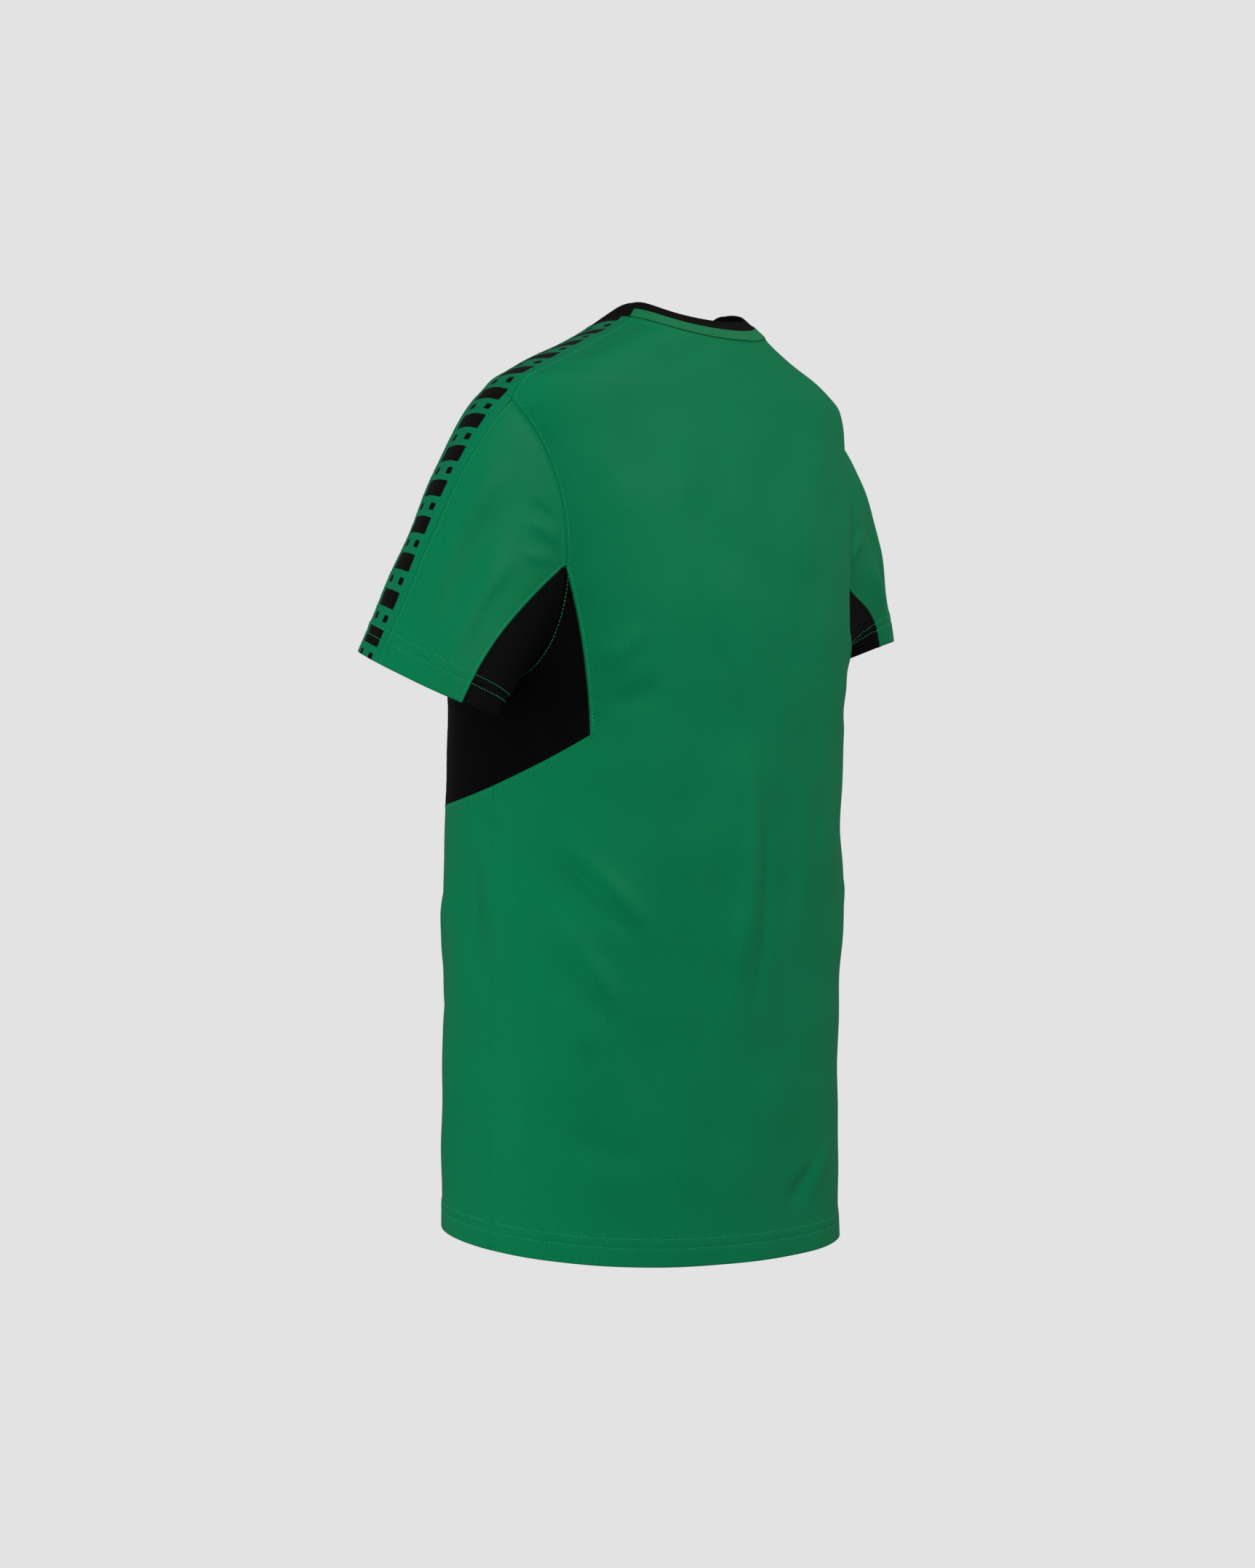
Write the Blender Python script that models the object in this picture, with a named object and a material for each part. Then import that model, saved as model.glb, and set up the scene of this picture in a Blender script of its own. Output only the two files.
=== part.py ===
"""A short-sleeved football jersey, filled out as it is worn, with nobody inside.

Metres, +Z up. The origin lies midway between the two shoulder-neck points, where the
wearer's shoulders carry the jersey. The front faces -Y and the wearer's left is +X.

The body is one smooth surface of oval sections. A place on it is a pair: the angle round
the body (0 at the wearer's left side, 90 degrees at the back, -90 at the front) and the
height. Seams are curves of such pairs, every piece is cut out between its seams, and each
sleeve is a loft from the armhole seam to the cuff.
"""

import math
from collections import namedtuple

import bmesh
import bpy
import numpy as np
from mathutils import Vector
from mathutils.geometry import delaunay_2d_cdt

# Cloth
CLOTH = 0.0015
RIB = 0.0026
NECK_TAPE = 0.0010
SEAM_GAP = 0.0003
PANEL_STEP = 0.024
SIDE_STEP = 0.018

Section = namedtuple("Section", "height half_width side_y back_y front_y")
BODY = (
    Section(0.008, 0.066, -0.0050, 0.0356, -0.051),
    Section(0.000, 0.080, -0.0048, 0.0378, -0.054),
    Section(-0.009, 0.096, -0.0044, 0.0404, -0.058),
    Section(-0.022, 0.129, -0.0042, 0.0443, -0.064),
    Section(-0.034, 0.160, -0.0045, 0.048, -0.071),
    Section(-0.046, 0.187, -0.0060, 0.051, -0.080),
    Section(-0.058, 0.209, -0.0090, 0.054, -0.091),
    Section(-0.080, 0.219, -0.0160, 0.058, -0.105),
    Section(-0.110, 0.220, -0.0220, 0.064, -0.117),
    Section(-0.150, 0.218, -0.0260, 0.073, -0.129),
    Section(-0.200, 0.212, -0.0280, 0.081, -0.140),
    Section(-0.260, 0.203, -0.0300, 0.085, -0.149),
    Section(-0.330, 0.196, -0.0320, 0.085, -0.155),
    Section(-0.450, 0.195, -0.0345, 0.083, -0.160),
    Section(-0.600, 0.195, -0.0365, 0.081, -0.162),
    Section(-0.760, 0.195, -0.0365, 0.081, -0.162),
)
SQUARENESS = 0.02
GIRTH_RADIUS = 0.16
SHOULDER_HEIGHT = -0.058
SHOULDER_STRETCH = 2.6

# Largest soft folds: angle at mid length, change of angle from bottom to top, ends, half
# width across and height, which is negative for a trough.
Fold = namedtuple("Fold", "angle lean top bottom width height")
FOLDS = (
    Fold(84, 3, -0.29, -0.60, 0.026, 0.0035),
    Fold(97, 4, -0.27, -0.62, 0.024, -0.0030),
    Fold(36, -34, -0.36, -0.51, 0.020, 0.0028),
    Fold(31, -27, -0.43, -0.57, 0.018, 0.0024),
    Fold(140, 30, -0.36, -0.54, 0.022, 0.0028),
    Fold(-17, 0, -0.38, -0.52, 0.022, -0.0030),
    Fold(-62, 20, -0.30, -0.60, 0.026, 0.0032),
    Fold(-84, -4, -0.34, -0.63, 0.024, -0.0028),
    Fold(-118, -22, -0.30, -0.58, 0.026, 0.0032),
    Fold(198, 0, -0.38, -0.54, 0.022, -0.0030),
)

# Hem and side seam
HEM_HEIGHT = -0.7155
HEM_DROP = 0.128
SIDE_SEAM = math.radians(-2.7)

# Neck seam and collar band
NECK_SIDE_HEIGHT = -0.001
NECK_BACK_DROP = 0.0138
NECK_FRONT_DROP = 0.079
NECK_HALF_WIDTH = 0.0813
COLLAR_WIDTH = 0.0212
COLLAR_LEAN = {"back": 0.78, "side": 0.81, "front": 0.82}
NECK_TAPE_WIDTH = 0.0125
NECK_TAPE_FOOT = 0.0003

# Armhole: an oval in the side view, leaning back a little towards its foot
ARM_HEIGHT = -0.170
ARM_HALF_HEIGHT = 0.111
ARM_Y = -0.0275
ARM_LEAN = -0.05
ARM_HALF_WIDTH = 0.054
TAPE_FRONT = math.radians(-10)
TAPE_BACK = math.radians(30)
GUSSET_BACK = math.radians(105)
GUSSET_FRONT = math.radians(255)
TAPE_NECK_BACK = math.radians(13)
TAPE_NECK_FRONT = math.radians(-33)
TAPE_BEND = 6
TAPE_BOW = 0.0025

# Side panel
PANEL_BACK_CORNER = (math.radians(31.9), -0.325)
PANEL_FRONT_CORNER = (math.radians(-42), -0.378)

# Sleeves: centre of the cuff, slope of its rim outwards and forwards, radius, turn of the
# cuff round the sleeve, direction at the cuff and slopes at the shoulder and underarm.
Sleeve = namedtuple(
    "Sleeve", "side cuff_x cuff_y cuff_z rise_out rise_front radius turn out front "
    "slack_arm slack_cuff slope_top slope_under")
SLEEVES = {
    "left": Sleeve(1, 0.286, -0.029, -0.289, 0.25, 0.405, 0.057, math.radians(-41),
                   0.53, 0.11, 0.71, 1.03, 0.63, 0.51),
    "right": Sleeve(-1, 0.286, -0.0515, -0.2625, 0.24, -0.30, 0.057, math.radians(-7),
                    0.45, 0.13, 0.85, 1.12, 0.28, 0.94),
}

# Steps along the seams
STEPS = {"hem": 40, "side_seam": 20, "lower_back": 8, "lower_front": 9, "panel_back": 9,
         "panel_front": 12, "arm_tape": 4, "arm_back": 10, "arm_under": 14, "arm_front": 10,
         "shoulder": 10, "neck_back": 14, "neck_front": 18, "sleeve": 13}

COLOURS = {
    "green": (0.008, 0.178, 0.064),
    "black": (0.010, 0.010, 0.011),
    "tape": (0.004, 0.165, 0.090),
    "light": (0.020, 0.230, 0.100),
}


def slopes(places, values):
    """Slopes of a smooth curve through the rows that does not bulge between them."""
    step = np.diff(places)
    rise = np.diff(values) / step
    slope = np.zeros(len(places))
    slope[0], slope[-1] = rise[0], rise[-1]
    for i in range(1, len(places) - 1):
        if rise[i - 1] * rise[i] > 0:
            before = 2 * step[i] + step[i - 1]
            after = step[i] + 2 * step[i - 1]
            slope[i] = (before + after) / (before / rise[i - 1] + after / rise[i])
    return slope


ROWS = np.array(BODY[::-1])
SLOPES = [slopes(ROWS[:, 0], ROWS[:, k]) for k in range(1, 5)]


def section_at(height):
    """Half width, side, back and front of the body's section at a height."""
    i = int(np.clip(np.searchsorted(ROWS[:, 0], height) - 1, 0, len(ROWS) - 2))
    step = ROWS[i + 1, 0] - ROWS[i, 0]
    w = (height - ROWS[i, 0]) / step
    start, end = (1 + 2 * w) * (1 - w) ** 2, w * w * (3 - 2 * w)
    leave, arrive = step * w * (1 - w) ** 2, step * w * w * (w - 1)
    return [start * ROWS[i, k + 1] + end * ROWS[i + 1, k + 1]
            + leave * SLOPES[k][i] + arrive * SLOPES[k][i + 1] for k in range(4)]


def across(angle):
    """Share of the half width at an angle of the section."""
    return math.cos(angle) * (1 + SQUARENESS) - SQUARENESS * math.cos(3 * angle)


def along(angle):
    """Share of the depth at an angle of the section."""
    return math.sin(angle) * (1 + SQUARENESS) + SQUARENESS * math.sin(3 * angle)


def fold_height(angle, height):
    """How far the soft folds lift the cloth at a place of the body."""
    lift = 0.0
    for fold in FOLDS:
        up = (height - fold.bottom) / (fold.top - fold.bottom)
        if 0 < up < 1:
            centre = math.radians(fold.angle + fold.lean * (up - 0.5))
            turn = (angle - centre + math.pi) % (2 * math.pi) - math.pi
            off = turn * GIRTH_RADIUS / fold.width
            lift += fold.height * math.sin(math.pi * up) ** 2 * math.exp(-off * off)
    return lift


def body_point(angle, height):
    """The outer surface of the body at an angle and a height."""
    half_width, side_y, back_y, front_y = section_at(height)
    share = along(angle)
    depth = back_y - side_y if share > 0 else side_y - front_y
    lift = fold_height(angle, height)
    return np.array([half_width * across(angle) + lift * math.cos(angle),
                     side_y + depth * share + lift * math.sin(angle), height])


def body_normal(angle, height):
    """The outward normal of the body's surface."""
    round_it = body_point(angle + 0.01, height) - body_point(angle - 0.01, height)
    up = body_point(angle, height + 0.001) - body_point(angle, height - 0.001)
    normal = np.cross(round_it, up)
    return normal / np.linalg.norm(normal)


def angle_at(y, height):
    """The angle on the left half of the body where the surface has this y."""
    _, side_y, back_y, front_y = section_at(height)
    share = (y - side_y) / (back_y - side_y if y > side_y else side_y - front_y)
    low, high = -math.pi / 2, math.pi / 2
    for _ in range(40):
        middle = (low + high) / 2
        low, high = (middle, high) if along(middle) < share else (low, middle)
    return (low + high) / 2


def place_at(x, y):
    """The place on the left shoulder that lies above a point of the plan."""
    low, high = -0.10, 0.008
    for _ in range(40):
        middle = (low + high) / 2
        wide = section_at(middle)[0] * across(angle_at(y, middle))
        low, high = (middle, high) if wide > x else (low, middle)
    return angle_at(y, low), low


def spaced(curve, start, end, steps):
    """Parameters that cut a curve on the body into equal lengths."""
    fine = np.linspace(start, end, 12 * steps + 1)
    points = np.array([body_point(*curve(t)) for t in fine])
    run = np.concatenate([[0], np.cumsum(np.linalg.norm(np.diff(points, axis=0), axis=1))])
    return np.interp(np.linspace(0, run[-1], steps + 1), run, fine)


def traced(curve, start, end, name):
    """Places along a curve on the body, in the number of steps named for the seam."""
    return [curve(t) for t in spaced(curve, start, end, STEPS[name])]


def hem(angle):
    """The hem, lower at the back than at the front."""
    _, side_y, _, _ = section_at(HEM_HEIGHT)
    y = body_point(angle, HEM_HEIGHT)[1]
    return angle, HEM_HEIGHT - HEM_DROP * (y - side_y)


def neck(angle):
    """The neck seam: a shallow dip at the back and a round neckline in front."""
    if angle >= 0:
        return angle, NECK_SIDE_HEIGHT - NECK_BACK_DROP * math.sin(angle) ** 2
    low, high = 0.0, math.pi / 2
    for _ in range(40):
        middle = (low + high) / 2
        height = NECK_SIDE_HEIGHT - NECK_FRONT_DROP * math.sin(middle)
        wide = section_at(height)[0] * across(angle)
        low, high = (middle, high) if wide < NECK_HALF_WIDTH * math.cos(middle) else (low, middle)
    return angle, NECK_SIDE_HEIGHT - NECK_FRONT_DROP * math.sin(low)


def armhole(turn):
    """The armhole seam: 0 at its top, a quarter turn at the back."""
    height = ARM_HEIGHT + ARM_HALF_HEIGHT * math.cos(turn)
    y = ARM_Y + ARM_LEAN * (height - ARM_HEIGHT) + ARM_HALF_WIDTH * math.sin(turn)
    return angle_at(y, height), height


def lower_edge(angle):
    """The slanting lower edge of the side panel, level at its front corner."""
    (back_angle, back_height), (front_angle, front_height) = PANEL_BACK_CORNER, PANEL_FRONT_CORNER
    share = (angle - front_angle) / (back_angle - front_angle)
    return angle, front_height + (back_height - front_height) * share ** 2


def panel_edge(corner, arm_turn):
    """The upright edge of the side panel from its lower corner to the armhole."""
    top_angle, top_height = armhole(arm_turn)
    angle, height = corner

    def edge(share):
        return angle + (top_angle - angle) * share ** 2, height + (top_height - height) * share
    return edge


def tape_line(neck_angle, arm_turn, bow=0.0):
    """A line along the shoulder from the neck seam to the armhole, straight until it
    nears the armhole."""
    neck_place, arm_place = neck(neck_angle), armhole(arm_turn)
    start, end = body_point(*neck_place), body_point(*arm_place)

    def line(share):
        if share <= 0 or share >= 1:
            return neck_place if share <= 0 else arm_place
        x = start[0] + (end[0] - start[0]) * share
        y = start[1] + (end[1] - start[1]) * share ** TAPE_BEND + bow * math.sin(math.pi * share)
        return place_at(x, y)
    return line


def mirrored(places, centre):
    """The same places on the other side of the body."""
    return [(2 * centre - angle, height) for angle, height in places]


def joined(*runs):
    """One closed outline from runs that share their end points."""
    outline = []
    for run in runs:
        outline.extend(run[:-1])
    return outline


BACK_EDGE = tape_line(TAPE_NECK_BACK, TAPE_BACK, TAPE_BOW)
FRONT_EDGE = tape_line(TAPE_NECK_FRONT, TAPE_FRONT)


def back_outline():
    """The back panel: hem, side seam, side panel, armhole, shoulder and neck."""
    side_foot, side_top = hem(SIDE_SEAM), lower_edge(SIDE_SEAM)
    left = joined(
        traced(lambda h: (SIDE_SEAM, h), side_foot[1], side_top[1], "side_seam"),
        traced(lower_edge, SIDE_SEAM, PANEL_BACK_CORNER[0], "lower_back"),
        traced(panel_edge(PANEL_BACK_CORNER, GUSSET_BACK), 0, 1, "panel_back"),
        traced(armhole, GUSSET_BACK, TAPE_BACK, "arm_back"),
        traced(BACK_EDGE, 1, 0, "shoulder"),
    ) + [neck(TAPE_NECK_BACK)]
    middle = math.pi / 2
    half_hem = traced(hem, SIDE_SEAM, middle, "hem")[:: 2]
    half_neck = traced(neck, middle, TAPE_NECK_BACK, "neck_back")[:: 2]
    return joined(half_hem, mirrored(half_hem, middle)[::-1], mirrored(left, middle),
                  mirrored(half_neck, middle)[::-1], half_neck, left[::-1])


def front_outline():
    """The front panel, cut like the back with a deeper neck."""
    side_foot, side_top = hem(SIDE_SEAM), lower_edge(SIDE_SEAM)
    left = joined(
        traced(lambda h: (SIDE_SEAM, h), side_foot[1], side_top[1], "side_seam"),
        traced(lower_edge, SIDE_SEAM, PANEL_FRONT_CORNER[0], "lower_front"),
        traced(panel_edge(PANEL_FRONT_CORNER, GUSSET_FRONT), 0, 1, "panel_front"),
        traced(armhole, GUSSET_FRONT, 2 * math.pi + TAPE_FRONT, "arm_front"),
        traced(FRONT_EDGE, 1, 0, "shoulder"),
    ) + [neck(TAPE_NECK_FRONT)]
    middle = -math.pi / 2
    half_hem = traced(hem, SIDE_SEAM, middle, "hem")[:: 2]
    half_neck = traced(neck, middle, TAPE_NECK_FRONT, "neck_front")[:: 2]
    return joined(left, half_neck[::-1], mirrored(half_neck, middle),
                  mirrored(left, middle)[::-1], mirrored(half_hem, middle), half_hem[::-1])


def side_outline():
    """The left side panel: armhole, back edge, slanting lower edge and front edge."""
    return joined(
        traced(armhole, GUSSET_BACK, GUSSET_FRONT, "arm_under"),
        traced(panel_edge(PANEL_FRONT_CORNER, GUSSET_FRONT), 1, 0, "panel_front"),
        traced(lower_edge, PANEL_FRONT_CORNER[0], SIDE_SEAM, "lower_front"),
        traced(lower_edge, SIDE_SEAM, PANEL_BACK_CORNER[0], "lower_back"),
        traced(panel_edge(PANEL_BACK_CORNER, GUSSET_BACK), 0, 1, "panel_back"),
    )


def to_flat(place):
    """A place of the body laid out flat, with the shoulder's slope unrolled."""
    angle, height = place
    over = max(0.0, height - SHOULDER_HEIGHT)
    return np.array([angle * GIRTH_RADIUS, height + over * (SHOULDER_STRETCH - 1)])


def from_flat(flat):
    """The place of the body that a flat point stands for."""
    over = max(0.0, flat[1] - SHOULDER_HEIGHT)
    return flat[0] / GIRTH_RADIUS, flat[1] - over * (1 - 1 / SHOULDER_STRETCH)


def inner_points(outline, step):
    """A staggered grid of points inside a flat outline, clear of its edge."""
    low, high = outline.min(axis=0), outline.max(axis=0)
    start, end = outline, np.roll(outline, -1, axis=0)
    run = end - start
    points = []
    rows = int((high[1] - low[1]) / (step * 0.87))
    for row in range(1, rows + 1):
        v = low[1] + row * step * 0.87
        for column in range(int((high[0] - low[0]) / step) + 1):
            u = low[0] + (column + 0.5 * (row % 2)) * step
            crosses = (start[:, 1] > v) != (end[:, 1] > v)
            with np.errstate(divide="ignore", invalid="ignore"):
                cut = start[:, 0] + (v - start[:, 1]) * run[:, 0] / run[:, 1]
            inside = np.count_nonzero(crosses & (u < cut)) % 2 == 1
            offset = np.array([u, v]) - start
            share = np.clip((offset * run).sum(axis=1) / (run ** 2).sum(axis=1), 0, 1)
            nearest = np.linalg.norm(offset - run * share[:, None], axis=1).min()
            if inside and nearest > 0.5 * step:
                points.append((u, v))
    return points


def cut_panel(outline, step):
    """An open panel of the body's surface inside a closed outline, with its normals."""
    flat = np.array([to_flat(place) for place in outline])
    vectors = [Vector(p) for p in flat] + [Vector(p) for p in inner_points(flat, step)]
    points, _, faces, _, _, _ = delaunay_2d_cdt(vectors, [], [list(range(len(flat)))], 1, 1e-6)
    shell = bmesh.new()
    places = [from_flat(p) for p in points]
    corners = [shell.verts.new(body_point(*place)) for place in places]
    for face in faces:
        shell.faces.new([corners[i] for i in face])
    return shell, [Vector(body_normal(*place)) for place in places]


def grid_shell(rows):
    """An open shell over rows of (point, normal), its faces turned outwards."""
    shell = bmesh.new()
    corners = [[shell.verts.new(point) for point, _ in row] for row in rows]
    for lower, upper in zip(corners, corners[1:]):
        for i in range(len(lower) - 1):
            shell.faces.new((lower[i], lower[i + 1], upper[i + 1], upper[i]))
    return shell, [Vector(normal) for row in rows for _, normal in row]


def thicken(shell, normals, wall):
    """Give an open shell a wall on its inner side, square to the true surface, so that
    the walls of neighbours meet at a seam as a mitre."""
    edges = [edge for edge in shell.edges if edge.is_boundary]
    faces = list(shell.faces)
    inner = {}
    for corner, normal in zip(list(shell.verts), normals):
        inner[corner] = shell.verts.new(corner.co - normal * wall)
    for face in faces:
        shell.faces.new([inner[corner] for corner in reversed(face.verts)])
    for edge in edges:
        corners = list(edge.link_faces[0].verts)
        first, second = edge.verts
        if corners[(corners.index(first) + 1) % len(corners)] is not second:
            first, second = second, first
        shell.faces.new((second, first, inner[first], inner[second]))


def pull_in(shell):
    """Draw every edge of a shell back by half the seam gap, within its own surface."""
    shell.normal_update()
    moves = {}
    for edge in shell.edges:
        if edge.is_boundary:
            face = edge.link_faces[0]
            run = (edge.verts[1].co - edge.verts[0].co).normalized()
            inward = face.normal.cross(run)
            middle = (edge.verts[0].co + edge.verts[1].co) / 2
            if inward.dot(face.calc_center_median() - middle) < 0:
                inward.negate()
            for corner in edge.verts:
                moves.setdefault(corner, []).append(inward)
    for corner, ways in moves.items():
        total = sum(ways, Vector())
        corner.co += total.normalized() * (SEAM_GAP / 2) / max(0.5, total.length / len(ways))


def material(name, colour, roughness):
    """A plain cloth material."""
    made = bpy.data.materials.new(name)
    made.use_nodes = True
    shader = made.node_tree.nodes["Principled BSDF"]
    shader.inputs["Base Color"].default_value = (*colour, 1)
    shader.inputs["Roughness"].default_value = roughness
    made.diffuse_color = (*colour, 1)
    return made


def place_object(name, shell, look, collection):
    """Turn a mesh in the making into a named object with its material."""
    mesh = bpy.data.meshes.new(name)
    shell.to_mesh(mesh)
    shell.free()
    mesh.shade_smooth()
    mesh.materials.append(look)
    item = bpy.data.objects.new(name, mesh)
    collection.objects.link(item)
    return item


def cloth_piece(name, surface, wall, look, collection):
    """A cloth piece: its outer surface drawn back at the seams and thickened inwards."""
    shell, normals = surface
    pull_in(shell)
    thicken(shell, normals, wall)
    return place_object(name, shell, look, collection)


def arm_turns(start, end, name):
    """The armhole parameters of one sleeve piece, shared with the body piece beside it."""
    return spaced(armhole, start, end, STEPS[name])


def cuff_rim(sleeve, turn):
    """A point of the cuff's rim, for a sleeve on the left."""
    upright = np.array([-sleeve.rise_out, sleeve.rise_front, 1.0])
    upright /= np.linalg.norm(upright)
    outward = np.array([1.0, 0, 0]) - upright * upright[0]
    outward /= np.linalg.norm(outward)
    backward = np.cross(upright, outward)
    angle = turn + sleeve.turn
    centre = np.array([sleeve.cuff_x, sleeve.cuff_y, sleeve.cuff_z])
    return centre + sleeve.radius * (math.cos(angle) * outward + math.sin(angle) * backward)


def sleeve_point(sleeve, turn, share):
    """A point of a sleeve: its turn round the armhole, and 0 there to 1 at the cuff."""
    start, end = body_point(*armhole(turn)), cuff_rim(sleeve, turn)
    reach = np.linalg.norm(end - start)
    top = (1 + math.cos(turn)) / 2
    ways = [np.array([1, -0.05, -slope]) for slope in (sleeve.slope_top, sleeve.slope_under)]
    ways = [way / np.linalg.norm(way) for way in ways]
    leave = ways[0] * top + ways[1] * (1 - top)
    leave *= sleeve.slack_arm * reach / np.linalg.norm(leave)
    arrive = np.array([sleeve.out, -sleeve.front, -1.0])
    arrive *= sleeve.slack_cuff * reach / np.linalg.norm(arrive)
    w = share
    point = ((1 + 2 * w) * (1 - w) ** 2 * start + w * (1 - w) ** 2 * leave
             + w * w * (3 - 2 * w) * end + w * w * (w - 1) * arrive)
    return point * (sleeve.side, 1, 1)


def sleeve_normal(sleeve, turn, share):
    """The outward normal of a sleeve's surface."""
    low, high = max(0.0, share - 0.01), min(1.0, share + 0.01)
    down = sleeve_point(sleeve, turn, high) - sleeve_point(sleeve, turn, low)
    round_it = sleeve_point(sleeve, turn + 0.02, share) - sleeve_point(sleeve, turn - 0.02, share)
    normal = np.cross(down, round_it) * sleeve.side
    return normal / np.linalg.norm(normal)


def sleeve_run(sleeve, turn):
    """Points and normals from the armhole to the cuff at one turn of the sleeve."""
    shares = np.linspace(0, 1, STEPS["sleeve"] + 1)
    return [(sleeve_point(sleeve, turn, share), sleeve_normal(sleeve, turn, share))
            for share in shares]


def sleeve_shell(sleeve, turns):
    """An open piece of a sleeve between two of its seams."""
    rows = [sleeve_run(sleeve, turn) for turn in turns]
    return grid_shell(rows if sleeve.side > 0 else rows[::-1])


def tape_shell(sleeve):
    """The tape: over the shoulder from the neck seam, then down the sleeve to the cuff."""
    turns = arm_turns(TAPE_FRONT, TAPE_BACK, "arm_tape")
    neck_angles = spaced(neck, TAPE_NECK_FRONT, TAPE_NECK_BACK, STEPS["arm_tape"])
    flip = np.array([sleeve.side, 1, 1])
    rows = []
    for i, (turn, neck_angle) in enumerate(zip(turns, neck_angles)):
        line = tape_line(neck_angle, turn, TAPE_BOW * i / STEPS["arm_tape"])
        places = [line(share) for share in spaced(line, 0, 1, STEPS["shoulder"])]
        shoulder = [(body_point(*place) * flip, body_normal(*place) * flip) for place in places]
        arm = sleeve_run(sleeve, turn)
        mitre = shoulder[-1][1] + arm[0][1]
        arm[0] = (arm[0][0], mitre / np.linalg.norm(mitre))
        rows.append(shoulder[:-1] + arm)
    return grid_shell(rows if sleeve.side > 0 else rows[::-1])


def neck_ring():
    """Places round the whole neck seam, from the back over the left to the front."""
    back = traced(neck, math.pi / 2, TAPE_NECK_BACK, "neck_back")[:: 2]
    tape = traced(neck, TAPE_NECK_BACK, TAPE_NECK_FRONT, "arm_tape")
    front = traced(neck, TAPE_NECK_FRONT, -math.pi / 2, "neck_front")[:: 2]
    left = joined(back, tape, front)
    right = [(math.pi - angle, height) for angle, height in left[1:]]
    return left + [(-math.pi / 2, neck(-math.pi / 2)[1])] + right[::-1]


def collar_way(angle, outward):
    """The direction in which the collar band stands up from the neck seam: up and in."""
    back = max(0.0, math.sin(angle))
    front = max(0.0, -math.sin(angle))
    lean = (COLLAR_LEAN["back"] * back + COLLAR_LEAN["front"] * front
            + COLLAR_LEAN["side"] * (1 - back - front))
    flat = np.array([outward[0], outward[1], 0.0])
    flat /= np.linalg.norm(flat)
    return np.array([0, 0, math.sqrt(1 - lean ** 2)]) - flat * lean


def collar_frame(angle, height):
    """Foot, direction up the band and outward normal of the collar band at a place."""
    foot = body_point(angle, height)
    normal = body_normal(angle, height)
    way = collar_way(angle, np.array([math.cos(angle), math.sin(angle), 0.0]))
    outward = np.array([math.cos(angle), math.sin(angle), 0.0])
    face = outward - way * outward.dot(way)
    return foot, way, face / np.linalg.norm(face), normal


def collar_shell():
    """The rib band: a ring with a rounded upper edge, its foot along the panels' edge."""
    shell = bmesh.new()
    rings = []
    for angle, height in neck_ring():
        foot, way, face, normal = collar_frame(angle, height)
        lift = way * SEAM_GAP
        top = foot + way * (COLLAR_WIDTH - RIB / 2)
        profile = (
            foot + lift,
            foot + way * COLLAR_WIDTH / 2,
            top,
            top + way * RIB / 2 - face * RIB / 2,
            top - face * RIB,
            foot + way * COLLAR_WIDTH / 2 - face * RIB,
            foot + lift - normal * RIB,
        )
        rings.append([shell.verts.new(p) for p in profile])
    for ring, after in zip(rings, rings[1:] + rings[:1]):
        for i in range(len(ring)):
            j = (i + 1) % len(ring)
            shell.faces.new((ring[i], ring[j], after[j], after[i]))
    bmesh.ops.recalc_face_normals(shell, faces=shell.faces)
    return shell


def neck_tape_shell():
    """The tape over the foot of the collar band, from shoulder tape to shoulder tape."""
    half = traced(neck, math.pi / 2, TAPE_NECK_BACK, "neck_back")[:: 2]
    places = mirrored(half, math.pi / 2)[::-1] + half[1:]
    rows = []
    for angle, height in places:
        foot, way, face, _ = collar_frame(angle, height)
        out = face * (SEAM_GAP + NECK_TAPE)
        shares = (0, 0.5, 1)
        rows.append([(foot + out + way * (NECK_TAPE_FOOT + NECK_TAPE_WIDTH * s), face) for s in shares])
    return grid_shell(rows)


def build():
    """Make every piece of the jersey in a collection of its own."""
    for item in list(bpy.data.objects):
        bpy.data.objects.remove(item, do_unlink=True)
    jersey = bpy.data.collections.new("football_jersey")
    bpy.context.scene.collection.children.link(jersey)
    green = material("green_knit", COLOURS["green"], 0.75)
    black = material("black_knit", COLOURS["black"], 0.70)
    tape = material("shoulder_tape", COLOURS["tape"], 0.55)
    light = material("neck_tape", COLOURS["light"], 0.65)
    rib = material("black_rib", COLOURS["black"], 0.85)

    cloth_piece("back_panel", cut_panel(back_outline(), PANEL_STEP), CLOTH, green, jersey)
    cloth_piece("front_panel", cut_panel(front_outline(), PANEL_STEP), CLOTH, green, jersey)
    sides = {"left": side_outline(), "right": mirrored(side_outline(), math.pi / 2)}
    for name, outline in sides.items():
        cloth_piece(f"side_panel_{name}", cut_panel(outline, SIDE_STEP), CLOTH, black, jersey)
    for name, sleeve in SLEEVES.items():
        pieces = (
            ("sleeve_back", TAPE_BACK, GUSSET_BACK, "arm_back", green),
            ("sleeve_gusset", GUSSET_BACK, GUSSET_FRONT, "arm_under", black),
            ("sleeve_front", GUSSET_FRONT, 2 * math.pi + TAPE_FRONT, "arm_front", green),
        )
        for piece, start, end, steps, look in pieces:
            surface = sleeve_shell(sleeve, arm_turns(start, end, steps))
            cloth_piece(f"{piece}_{name}", surface, CLOTH, look, jersey)
        cloth_piece(f"shoulder_tape_{name}", tape_shell(sleeve), CLOTH, tape, jersey)
    place_object("collar_band", collar_shell(), rib, jersey)
    cloth_piece("neck_tape", neck_tape_shell(), NECK_TAPE, light, jersey)


build()
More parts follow.
